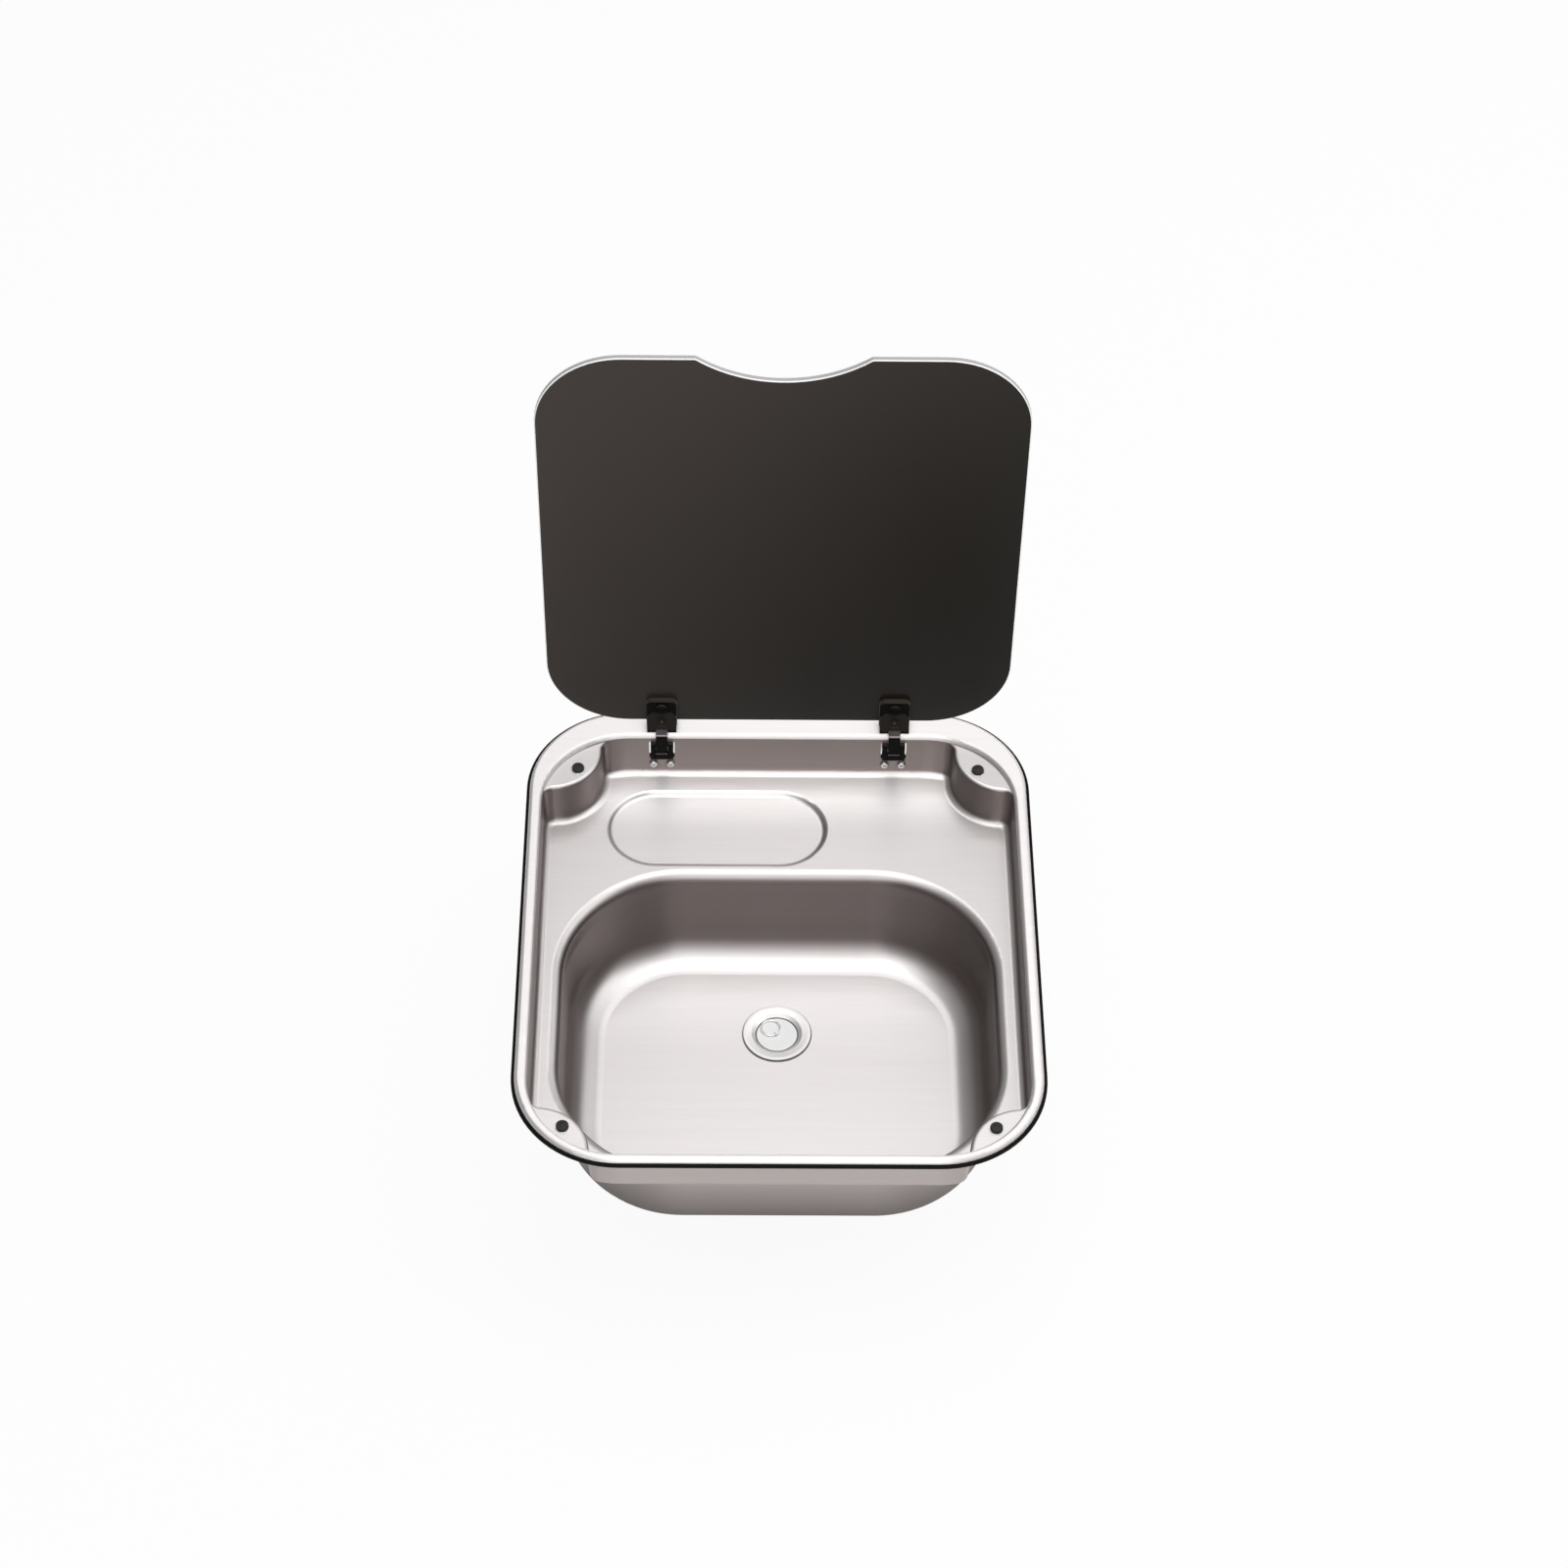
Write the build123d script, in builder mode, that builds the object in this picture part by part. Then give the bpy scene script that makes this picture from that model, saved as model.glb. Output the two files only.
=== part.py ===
from build123d import *
import math
import os

# Drop-in sink with a hinged glass lid, shown with the lid standing open.
# Millimetres, +Z up, +Y to the rear. The origin is the middle of the four fixing holes,
# on the worktop's surface.

os.makedirs("parts", exist_ok=True)

# ---------------------------------------------------------------- driving dimensions
SHEET = 0.8                 # pressed stainless sheet
RUN = 0.05                  # radial clearance of pins, shanks and stems
GAP = 0.3                   # clearance between faces that pass or sit near each other

# rim and seal, seen from above
SINK_WIDTH = 400.0          # over the seal
SINK_DEPTH = 449.0
SINK_CORNER = 82.0
SEAL_LIP = 2.4              # seal showing outside the metal edge
SEAL_HEIGHT = 2.4
SEAL_BASE = 0.95            # rubber under the metal edge
SEAL_INNER_LIP = 1.5
SEAL_ROUND = 0.8            # rounding of the seal's outer edge
RIM_TOP = 5.5               # top of the rim above the worktop
RIM_EDGE = 3.0              # rounding of the rim's edges
BEAD_SIDE = 9.6
BEAD_FRONT = 7.5
RIM_REAR = 26.0

# recess under the lid
RECESS_CORNER = 70.0
DECK_DEPTH = 38.0
DECK_FOOT = 6.0             # rounding where the walls meet the deck
WALL_DRAFT = 1.5            # degrees

# corner pads that carry the lid buffers and the fixing screws
HOLE_SIDE_INSET = 28.0      # from the recess wall
HOLE_FRONT_INSET = 26.1
HOLE_REAR_INSET = 32.6
PAD_RADIUS = 40.0
PAD_MARGIN = 11.0           # from the hole to the pad's inner edge
PAD_TIP = 9.0               # blend between pad and recess wall
PAD_EDGE = 3.0              # rounding of the pad's inner edge
PAD_EDGE_BANDS = 5
FIXING_HOLE_R = 2.2
BUFFER_STEM_R = 3.0
BUFFER_R = 4.75
BUFFER_HEIGHT = 3.0
BUFFER_ROUND = 1.0

# bowl
BOWL_SIDE_LEDGE = 20.6      # deck left between recess wall and bowl
BOWL_FRONT_LEDGE = 19.1
REAR_DECK = 112.4
BOWL_CORNER = 95.0
BOWL_DEPTH = 124.0          # worktop to bowl floor
CREASE_DEPTH = 58.0         # where the upright wall turns to the drafted one
BOWL_DRAFT = 4.0            # degrees
BOWL_FLOOR_ROUND = 28.0
BOWL_MOUTH_ROUND = 9.0

# soap dish in the deck
DISH_LENGTH = 176.3
DISH_WIDTH = 78.5
DISH_SIDE_LEDGE = 51.45      # deck left between the left recess wall and the dish
DISH_LEDGE = 12.3           # deck left between bowl and dish
DISH_DEPTH = 3.0
DISH_SLOPE = 45.0           # degrees
DISH_ROUND = 3.0

# glass lid
LID_SIDE_GAP = 3.3
LID_FRONT_GAP = 3.1
LID_REAR_GAP = 17.8
LID_CORNER = 66.0
GLASS = 5.0
GLASS_EDGE = 1.2            # rounding of the ground edge
LID_SEAT_GAP = 0.2          # closed glass above the buffers
NOTCH_HALF_WIDTH = 64.5
NOTCH_DEPTH = 21.5
NOTCH_BLEND = 3.0           # rounding of the notch's corners
GLASS_HOLE_R = 5.0
GLASS_HOLE_INSET = 19.0     # from the glass edge

# hinges
HINGE_X = 93.7
PIVOT_BEHIND = 0.3          # pivot behind the top of the recess wall
PIVOT_DEPTH = 10.1          # pivot below the worktop
PIN_R = 2.0
STRAP_WIDTH = 9.4
STRAP = 1.6
STRAP_OVER_RIM = 1.7        # air between rim and strap
STRAP_BEND = 2.0            # outside of the strap's bends
STRAP_INNER_BEND = 1.0
BARREL_R = 5.0
TAIL_REACH = 7.2            # arm tail below the pivot
HOUSING_WIDTH = 18.2
HOUSING_NOSE = 3.2          # housing in front of the pivot
HOUSING_BACK = 3.0          # housing wall behind the spring
WINDOW_WIDTH = 20.4
WINDOW_TOP = 2.4
WINDOW_BOTTOM = 20.9
WINDOW_CORNER = 1.0
SPRING_BOW = 1.2
SPRING_LEAF = 0.5
FOOT_WIDTH = 26.0
FOOT_DEPTH = 33.0
FOOT_THICK = 3.5
NUT_PLATE = 1.5
NUT_PLATE_MARGIN = 0.5
SCREW_SPREAD = 13.7
SCREW_DEPTH = 27.3
SCREW_SHANK_R = 1.5
SCREW_HEAD_R = 3.5
SCREW_HEAD = 2.2
SCREW_ROUND = 1.5           # rounding of the pan head
SCREW_TIP = 2.5             # shank beyond the nut plate
SCREW_SOCKET_R = 1.6
SCREW_SOCKET_SIDES = 6
SCREW_SOCKET = 1.2
SCREW_CLEAR = 0.2           # screw shank in its holes

# glass clamps
CLAMP_WIDTH = 24.5
CLAMP_HEIGHT = 29.0
CLAMP_PLATE = 4.5
CLAMP_CORNER = 5.0
CLAMP_ROUND = 1.2
CLAMP_OVER_RIM = 0.5        # air between rim and open clamp
WEDGE_REACH = 11.0          # wedge's nose in front of the gasket
WEDGE_NOSE = 2.0
WEDGE_WIDTH = 23.6
WEDGE_ARCH = 13.0           # radius of the wedge's arched top
WEDGE_TOP = 19.0
BOSS_R = 4.6
BOSS_PROUD = 1.7
CLAMP_HEAD_R = 3.4
CLAMP_HEAD = 1.6
CLAMP_HEAD_ROUND = 0.8
CLAMP_SHANK_R = 2.0
CLAMP_GASKET = 0.5
GASKET_INSET = 1.2
CAP_R = 12.0
CAP_THICK = 2.5
CAP_SPIGOT = 3.0            # cap's spigot into the glass hole
CAP_ROUND = 1.2

# waste
DRAIN_FROM_REAR = 90.2      # bowl's rear edge to the drain's centre
FLANGE_R = 27.2
FLANGE_EDGE = 1.0
FLANGE_BEVEL = 0.5
FLANGE_DISH = 2.4
FLANGE_GASKET = 0.8
GASKET_MARGIN = 0.7         # gasket inside the flange's edge
TUBE_R = 20.0
TUBE_WALL = 2.5
TUBE_LENGTH = 26.0
FLOOR_HOLE_CLEAR = 1.0
THROAT_R = 17.0
SEAT_R = 14.9
SEAT_THICK = 2.0
STRAINER_BAR = 2.0
LOWER_GASKET = 2.0
LOWER_GASKET_R = 27.0
NUT_R = 27.0
NUT_HEIGHT = 5.0
NUT_SIDES = 8
CUP_WALL = 3.0
CUP_LENGTH = 19.0
CUP_ENGAGE = 15.0           # cup screwed up over the tube
SPIGOT_R = 12.5
SPIGOT_WALL = 2.0
SPIGOT_LENGTH = 26.0

# plug
PLUG_R = 16.2
PLUG_DISC = 1.8
PLUG_SEAL = 0.7
PLUG_SEAL_GAP = 0.15
PLUG_STEM_R = 14.0
PLUG_STEM = 7.0
PLUG_ROUND = 0.6
EYE_LENGTH = 3.0
EYE_DEPTH = 3.6
EYE_BORE_R = 1.1
EYE_TOP_WALL = 0.7
RING_R = 7.5                # to the wire's centre
RING_WIRE_R = 0.75
RING_REST = 0.2             # resting ring above the plug
RING_BEARING = 130.4        # degrees from +X to the resting ring's centre

# ---------------------------------------------------------------- derived places
metal_width = SINK_WIDTH - 2 * SEAL_LIP
metal_depth = SINK_DEPTH - 2 * SEAL_LIP
metal_corner = SINK_CORNER - SEAL_LIP
recess_half = metal_width / 2 - BEAD_SIDE
recess_depth = metal_depth - BEAD_FRONT - RIM_REAR
hole_x = recess_half - HOLE_SIDE_INSET
hole_y = (recess_depth - HOLE_FRONT_INSET - HOLE_REAR_INSET) / 2
recess_front = -hole_y - HOLE_FRONT_INSET
recess_rear = hole_y + HOLE_REAR_INSET
recess_mid = (recess_front + recess_rear) / 2
metal_front = recess_front - BEAD_FRONT
rim_mid = metal_front + metal_depth / 2
pad_top = SHEET
skirt_bottom = SEAL_BASE + RUN

bowl_half = recess_half - BOWL_SIDE_LEDGE
bowl_front = recess_front + BOWL_FRONT_LEDGE
bowl_rear = recess_rear - REAR_DECK
bowl_mid = (bowl_front + bowl_rear) / 2
dish_x = DISH_SIDE_LEDGE + DISH_LENGTH / 2 - recess_half
dish_y = bowl_rear + DISH_LEDGE + DISH_WIDTH / 2
drain_y = bowl_rear - DRAIN_FROM_REAR
floor_hole_r = TUBE_R + FLOOR_HOLE_CLEAR

pivot_y = recess_rear + PIVOT_BEHIND
pivot_z = -PIVOT_DEPTH
lid_seat = pad_top + BUFFER_HEIGHT + LID_SEAT_GAP
lid_width = 2 * (recess_half - LID_SIDE_GAP)
lid_length = recess_depth - LID_FRONT_GAP - LID_REAR_GAP
glass_front = pivot_y + lid_seat - pivot_z
glass_low = pivot_z + pivot_y - (recess_rear - LID_REAR_GAP)
glass_back = glass_front + GLASS
glass_hole_z = glass_low + GLASS_HOLE_INSET

HINGE_SIDES = {"left": -HINGE_X, "right": HINGE_X}
CORNERS = {
    "front_left": (-hole_x, -hole_y),
    "front_right": (hole_x, -hole_y),
    "rear_left": (-hole_x, hole_y),
    "rear_right": (hole_x, hole_y),
}


def upright(y):
    """Plane facing the front at depth y; negative amounts extrude to the rear."""
    return Plane((0, y, 0), x_dir=(1, 0, 0), z_dir=(0, -1, 0))


def save(block, name):
    """Label a finished piece and write it as a STEP file."""
    block.part.label = name
    export_step(block.part, f"parts/{name}.step")


# ---------------------------------------------------------------- outlines
def rim_outline(grow):
    """Outline of the rim's metal, grown by so much all round."""
    with Locations((0, rim_mid)):
        RectangleRounded(metal_width + 2 * grow, metal_depth + 2 * grow, metal_corner + grow)


def recess_outline(grow):
    """Outline of the recess wall, grown by so much all round."""
    with Locations((0, recess_mid)):
        RectangleRounded(2 * (recess_half + grow), recess_depth + 2 * grow, RECESS_CORNER + grow)


def bowl_outline(grow):
    """Outline of the bowl's mouth, grown by so much all round."""
    with Locations((0, bowl_mid)):
        RectangleRounded(2 * (bowl_half + grow), bowl_rear - bowl_front + 2 * grow,
                         BOWL_CORNER + grow)


def pad_centre(x, y):
    """Centre of the arc that bounds the pad round the hole at x, y."""
    corner_x = math.copysign(recess_half - RECESS_CORNER, x)
    corner_y = recess_rear - RECESS_CORNER if y > 0 else recess_front + RECESS_CORNER
    outward = Vector(x - corner_x, y - corner_y).normalized()
    return Vector(x, y) + outward * (PAD_RADIUS - PAD_MARGIN)


pad_centres = [pad_centre(x, y) for x, y in CORNERS.values()]


def pads_outline(outline, grow, pad_radius):
    """Draw the recess less its four corner pads, with blended tips, in an open sketch."""
    recess_outline(grow)
    with Locations(*pad_centres):
        Circle(pad_radius, mode=Mode.SUBTRACT)
    tips = [corner for corner in outline.vertices()
            if min((Vector(corner.X, corner.Y) - centre).length
                   for centre in pad_centres) < pad_radius + RUN]
    fillet(tips, PAD_TIP + grow)


def level_edges(faces, z):
    """Faces of a list that lie flat at height z."""
    return faces.filter_by(Plane.XY).filter_by_position(Axis.Z, z - RUN, z + RUN)


# ---------------------------------------------------------------- basin
def pressed_space(skin):
    """Solid of the room inside the sink: recess, soap dish and bowl, grown by the skin."""
    pad_floor = pad_top - skin
    pad_round = PAD_EDGE - skin
    with BuildPart() as space:
        with BuildSketch(Plane.XY.offset(RIM_TOP)):
            recess_outline(skin)
        extrude(amount=pad_floor - RIM_TOP)
        # rounded inner edges of the pads
        for band in range(PAD_EDGE_BANDS):
            turn = math.radians(90 * band / (PAD_EDGE_BANDS - 1))
            with BuildSketch(Plane.XY.offset(pad_floor - pad_round * (1 - math.cos(turn)))) as ring:
                pads_outline(ring, skin, PAD_RADIUS - skin - pad_round * (1 - math.sin(turn)))
        loft(ruled=True)
        # drafted wall down to the deck
        with BuildSketch(Plane.XY.offset(pad_floor - pad_round)) as wall:
            pads_outline(wall, skin, PAD_RADIUS - skin)
        deck = -DECK_DEPTH - skin
        extrude(amount=deck - pad_floor + pad_round, taper=WALL_DRAFT)
        # bowl: upright to the crease, drafted below it
        with BuildSketch(Plane.XY.offset(deck)):
            bowl_outline(skin)
        extrude(amount=DECK_DEPTH - CREASE_DEPTH)
        with BuildSketch(Plane.XY.offset(-CREASE_DEPTH - skin)):
            bowl_outline(skin)
        extrude(amount=CREASE_DEPTH - BOWL_DEPTH, taper=BOWL_DRAFT)
        bowl_floor = level_edges(space.faces(), -BOWL_DEPTH - skin)
        fillet(bowl_floor.edges(), BOWL_FLOOR_ROUND + skin)
        fillet(level_edges(space.faces(), deck)[0].inner_wires()[0].edges(),
               BOWL_MOUTH_ROUND - skin)
        fillet(level_edges(space.faces(), deck)[0].outer_wire().edges(), DECK_FOOT + skin)
        # soap dish
        with BuildSketch(Plane.XY.offset(deck)):
            with Locations((dish_x, dish_y)):
                SlotOverall(DISH_LENGTH + 2 * skin, DISH_WIDTH + 2 * skin)
        extrude(amount=-DISH_DEPTH, taper=DISH_SLOPE)
        fillet(level_edges(space.faces(), deck - DISH_DEPTH).edges(), DISH_ROUND + skin)
        mouths = level_edges(space.faces(), deck)[0].inner_wires()
        fillet(mouths.sort_by(Axis.Y)[-1].edges(), DISH_ROUND - skin)
    return space.part


water_side = pressed_space(0)
metal_side = pressed_space(SHEET)


def rim_block(inset):
    """Rim as a solid block with rounded top edges, inset by so much."""
    top = RIM_TOP - inset
    with BuildPart() as block:
        with BuildSketch(Plane.XY.offset(skirt_bottom - 2 * inset)):
            rim_outline(-inset)
        extrude(amount=top - skirt_bottom + 2 * inset)
        fillet(level_edges(block.faces(), top).edges(), RIM_EDGE - inset)
    return block.part


with BuildPart() as under_rim:
    add(rim_block(SHEET))
    add(metal_side, mode=Mode.SUBTRACT)
    fillet(level_edges(under_rim.faces(), RIM_TOP - SHEET)[0].inner_wires()[0].edges(),
           RIM_EDGE - SHEET)

with BuildPart() as sink_basin:
    add(rim_block(0))
    add(metal_side)
    add(water_side, mode=Mode.SUBTRACT)
    fillet(level_edges(sink_basin.faces(), RIM_TOP)[0].inner_wires()[0].edges(), RIM_EDGE)
    add(under_rim.part, mode=Mode.SUBTRACT)
    with BuildSketch(Plane.XY.offset(pad_top)):
        with Locations(*CORNERS.values()):
            Circle(BUFFER_STEM_R + RUN)
    extrude(amount=SHEET, both=True, mode=Mode.SUBTRACT)
    with BuildSketch(Plane.XY.offset(-BOWL_DEPTH)):
        with Locations((0, drain_y)):
            Circle(floor_hole_r)
    extrude(amount=SHEET, both=True, mode=Mode.SUBTRACT)
    wall_cut = DECK_FOOT + SHEET
    with BuildSketch(upright(recess_rear - wall_cut)) as openings:
        with Locations(*((x, -(WINDOW_TOP + WINDOW_BOTTOM) / 2) for x in HINGE_SIDES.values())):
            RectangleRounded(WINDOW_WIDTH, WINDOW_BOTTOM - WINDOW_TOP, WINDOW_CORNER)
        with Locations(*((x, -SCREW_DEPTH) for x in HINGE_SIDES.values())):
            with GridLocations(SCREW_SPREAD, 0, 2, 1):
                Circle(SCREW_SHANK_R + SCREW_CLEAR)
    extrude(amount=-2 * wall_cut, mode=Mode.SUBTRACT)
save(sink_basin, "sink_basin")

# ---------------------------------------------------------------- rim seal
with BuildPart() as rim_seal:
    with BuildSketch():
        rim_outline(SEAL_LIP)
    extrude(amount=SEAL_HEIGHT)
    fillet(level_edges(rim_seal.faces(), SEAL_HEIGHT).edges(), SEAL_ROUND)
    with BuildSketch():
        rim_outline(-SHEET - RUN - SEAL_INNER_LIP)
    extrude(amount=SEAL_HEIGHT, mode=Mode.SUBTRACT)
    with BuildSketch(Plane.XY.offset(SEAL_BASE)) as groove:
        rim_outline(RUN)
        with BuildSketch(mode=Mode.SUBTRACT):
            rim_outline(-SHEET - RUN)
    extrude(amount=SEAL_HEIGHT, mode=Mode.SUBTRACT)
save(rim_seal, "rim_seal")

# ---------------------------------------------------------------- lid buffers
for corner, place in CORNERS.items():
    with BuildPart() as buffer:
        with BuildSketch(Plane.XY):
            with Locations(place):
                Circle(BUFFER_STEM_R)
        extrude(amount=pad_top)
        with BuildSketch(Plane.XY.offset(pad_top)):
            with Locations(place):
                Circle(BUFFER_R)
        extrude(amount=BUFFER_HEIGHT)
        fillet(level_edges(buffer.faces(), pad_top + BUFFER_HEIGHT).edges(), BUFFER_ROUND)
        with BuildSketch(Plane.XY):
            with Locations(place):
                Circle(FIXING_HOLE_R)
        extrude(amount=pad_top + BUFFER_HEIGHT, mode=Mode.SUBTRACT)
    save(buffer, f"lid_buffer_{corner}")

# ---------------------------------------------------------------- glass lid, standing open
notch_radius = (NOTCH_HALF_WIDTH ** 2 + NOTCH_DEPTH ** 2) / (2 * NOTCH_DEPTH)
glass_top = glass_low + lid_length

with BuildPart() as glass_lid:
    with BuildSketch(upright(glass_front)) as pane:
        with Locations((0, glass_low + lid_length / 2)):
            RectangleRounded(lid_width, lid_length, LID_CORNER)
        with Locations((0, glass_top - NOTCH_DEPTH + notch_radius)):
            Circle(notch_radius, mode=Mode.SUBTRACT)
        fillet(pane.vertices().group_by(Axis.Y)[-1].sort_by(Axis.X)[1:3], NOTCH_BLEND)
        with Locations(*((x, glass_hole_z) for x in HINGE_SIDES.values())):
            Circle(GLASS_HOLE_R, mode=Mode.SUBTRACT)
    extrude(amount=-GLASS)
    for face in glass_lid.faces().filter_by(Plane.XZ):
        fillet(face.outer_wire().edges(), GLASS_EDGE)
save(glass_lid, "glass_lid")

# ---------------------------------------------------------------- hinges
arm_front = pivot_y - BARREL_R
arm_back = arm_front + STRAP
strap_low = RIM_TOP + STRAP_OVER_RIM
strap_high = strap_low + STRAP
gasket_front = glass_front - CLAMP_GASKET
clamp_front = gasket_front - CLAMP_PLATE
clamp_low = RIM_TOP + CLAMP_OVER_RIM
clamp_high = clamp_low + CLAMP_HEIGHT
leg_back = gasket_front - RUN
leg_front = leg_back - STRAP
leg_high = glass_hole_z + BOSS_R
tail_sweep = math.hypot(TAIL_REACH, BARREL_R)
slot_half = STRAP_WIDTH / 2 + GAP
slot_back = pivot_y + tail_sweep + GAP + SPRING_LEAF + SPRING_BOW
slot_low = pivot_z - tail_sweep - GAP
housing_back = slot_back + HOUSING_BACK
housing_top = -WINDOW_TOP - GAP
nose_low = -WINDOW_BOTTOM + GAP
foot_top = -WINDOW_BOTTOM - SHEET
foot_low = -FOOT_DEPTH
wall_slope = math.tan(math.radians(WALL_DRAFT))
draft_start = pad_top - PAD_EDGE


def wall_face(z):
    """Front of the recess's rear wall at height z."""
    return recess_rear - (draft_start - z) * wall_slope


def wall_back(z):
    """Back of the recess's rear wall at height z, with the housing's clearance."""
    return wall_face(z) + SHEET / math.cos(math.radians(WALL_DRAFT)) + RUN


foot_back = wall_back(draft_start) + FOOT_THICK
plate_back = foot_back + NUT_PLATE


def hinge_housing(x):
    """Black clevis behind the rear wall, with its nose through the wall's window."""
    with BuildPart() as housing:
        with BuildSketch(Plane.YZ.offset(x)):
            with BuildLine():
                Polyline(
                    (pivot_y - HOUSING_NOSE, housing_top),
                    (housing_back, housing_top),
                    (housing_back, foot_low),
                    (wall_back(foot_low), foot_low),
                    (wall_back(foot_top), foot_top),
                    (wall_back(nose_low), nose_low),
                    (pivot_y - HOUSING_NOSE, nose_low),
                    close=True,
                )
            make_face()
        extrude(amount=HOUSING_WIDTH / 2, both=True)
        with BuildSketch(Plane.YZ.offset(x)):
            with BuildLine():
                Polyline(
                    (foot_back, foot_top),
                    (foot_back, foot_low),
                    (wall_back(foot_low), foot_low),
                    (wall_back(foot_top), foot_top),
                    close=True,
                )
            make_face()
        extrude(amount=FOOT_WIDTH / 2, both=True)
        # slot for the arm and its spring, open to the front and the top
        with BuildSketch(Plane.YZ.offset(x)):
            with Locations(((pivot_y - HOUSING_NOSE + slot_back) / 2, (slot_low + RIM_TOP) / 2)):
                Rectangle(slot_back - pivot_y + HOUSING_NOSE, RIM_TOP - slot_low)
        extrude(amount=slot_half, both=True, mode=Mode.SUBTRACT)
        # room for the nut plate behind the foot
        with BuildSketch(Plane.YZ.offset(x)):
            with Locations((foot_back, foot_low)):
                Rectangle(housing_back - foot_back, foot_top - foot_low,
                          align=(Align.MIN, Align.MIN))
        extrude(amount=FOOT_WIDTH / 2, both=True, mode=Mode.SUBTRACT)
        with BuildSketch(Plane.YZ.offset(x)):
            with Locations((pivot_y, pivot_z)):
                Circle(PIN_R)
        extrude(amount=HOUSING_WIDTH / 2, both=True, mode=Mode.SUBTRACT)
        with BuildSketch(upright(foot_back)):
            with Locations((x, -SCREW_DEPTH)):
                with GridLocations(SCREW_SPREAD, 0, 2, 1):
                    Circle(SCREW_SHANK_R + SCREW_CLEAR)
        extrude(amount=FOOT_THICK + DECK_FOOT, mode=Mode.SUBTRACT)
    return housing


def hinge_arm(x):
    """Steel strap: barrel, tail and neck, bent back over the rim and up inside the clamp."""
    with BuildPart() as arm:
        with BuildSketch(Plane.YZ.offset(x)) as profile:
            with Locations((pivot_y, pivot_z)):
                Circle(BARREL_R)
            with BuildLine():
                FilletPolyline(
                    (arm_front, pivot_z - TAIL_REACH),
                    (arm_front, strap_high),
                    (leg_front, strap_high),
                    (leg_front, leg_high),
                    radius=STRAP_BEND,
                )
                Line((leg_front, leg_high), (leg_back, leg_high))
                FilletPolyline(
                    (leg_back, leg_high),
                    (leg_back, strap_low),
                    (arm_back, strap_low),
                    (arm_back, pivot_z - TAIL_REACH),
                    radius=STRAP_INNER_BEND,
                )
                Line((arm_back, pivot_z - TAIL_REACH), (arm_front, pivot_z - TAIL_REACH))
            make_face()
            with Locations((pivot_y, pivot_z)):
                Circle(PIN_R + RUN, mode=Mode.SUBTRACT)
        extrude(amount=STRAP_WIDTH / 2, both=True)
        with BuildSketch(upright(leg_back)):
            with Locations((x, glass_hole_z)):
                Circle(CLAMP_SHANK_R + SCREW_CLEAR)
        extrude(amount=STRAP, mode=Mode.SUBTRACT)
    return arm


def hinge_spring(x):
    """Bowed leaf in the back of the housing slot."""
    rise = (housing_top - slot_low) / 2 - GAP
    middle = (housing_top + slot_low) / 2
    with BuildPart() as spring:
        with BuildSketch(Plane.YZ.offset(x)):
            with BuildLine():
                for back in (slot_back - RUN, slot_back - RUN - SPRING_LEAF):
                    ThreePointArc((back, middle - rise), (back - SPRING_BOW, middle),
                                  (back, middle + rise))
                for end in (middle - rise, middle + rise):
                    Line((slot_back - RUN, end), (slot_back - RUN - SPRING_LEAF, end))
            make_face()
        extrude(amount=STRAP_WIDTH / 2 - GAP, both=True)
    return spring


def hinge_pin(x):
    """Pin across the housing's cheeks."""
    with BuildPart() as pin:
        with BuildSketch(Plane.YZ.offset(x)):
            with Locations((pivot_y, pivot_z)):
                Circle(PIN_R)
        extrude(amount=HOUSING_WIDTH / 2, both=True)
        chamfer(pin.edges().filter_by(GeomType.CIRCLE), GAP)
    return pin


def hinge_nut_plate(x):
    """Threaded plate that draws the housing's foot against the wall."""
    with BuildPart() as plate:
        with BuildSketch(upright(foot_back)):
            with Locations((x, (foot_top + foot_low) / 2)):
                Rectangle(FOOT_WIDTH - 2 * NUT_PLATE_MARGIN,
                          foot_top - foot_low - 2 * NUT_PLATE_MARGIN)
            with Locations((x, -SCREW_DEPTH)):
                with GridLocations(SCREW_SPREAD, 0, 2, 1):
                    Circle(SCREW_SHANK_R + RUN, mode=Mode.SUBTRACT)
        extrude(amount=-NUT_PLATE)
    return plate


def hinge_screws(x):
    """Pair of pan-head screws through the rear wall."""
    head_seat = wall_face(-SCREW_DEPTH - SCREW_HEAD_R)
    with BuildPart() as screws:
        with BuildSketch(upright(head_seat)):
            with Locations((x, -SCREW_DEPTH)):
                with GridLocations(SCREW_SPREAD, 0, 2, 1):
                    Circle(SCREW_HEAD_R)
        extrude(amount=SCREW_HEAD)
        fillet(screws.faces().filter_by(Plane.XZ).group_by(Axis.Y)[0].edges(), SCREW_ROUND)
        with BuildSketch(upright(head_seat - SCREW_HEAD)):
            with Locations((x, -SCREW_DEPTH)):
                with GridLocations(SCREW_SPREAD, 0, 2, 1):
                    RegularPolygon(SCREW_SOCKET_R, SCREW_SOCKET_SIDES)
        extrude(amount=-SCREW_SOCKET, mode=Mode.SUBTRACT)
        with BuildSketch(upright(head_seat)):
            with Locations((x, -SCREW_DEPTH)):
                with GridLocations(SCREW_SPREAD, 0, 2, 1):
                    Circle(SCREW_SHANK_R)
        extrude(amount=head_seat - plate_back - SCREW_TIP)
    return screws


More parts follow.
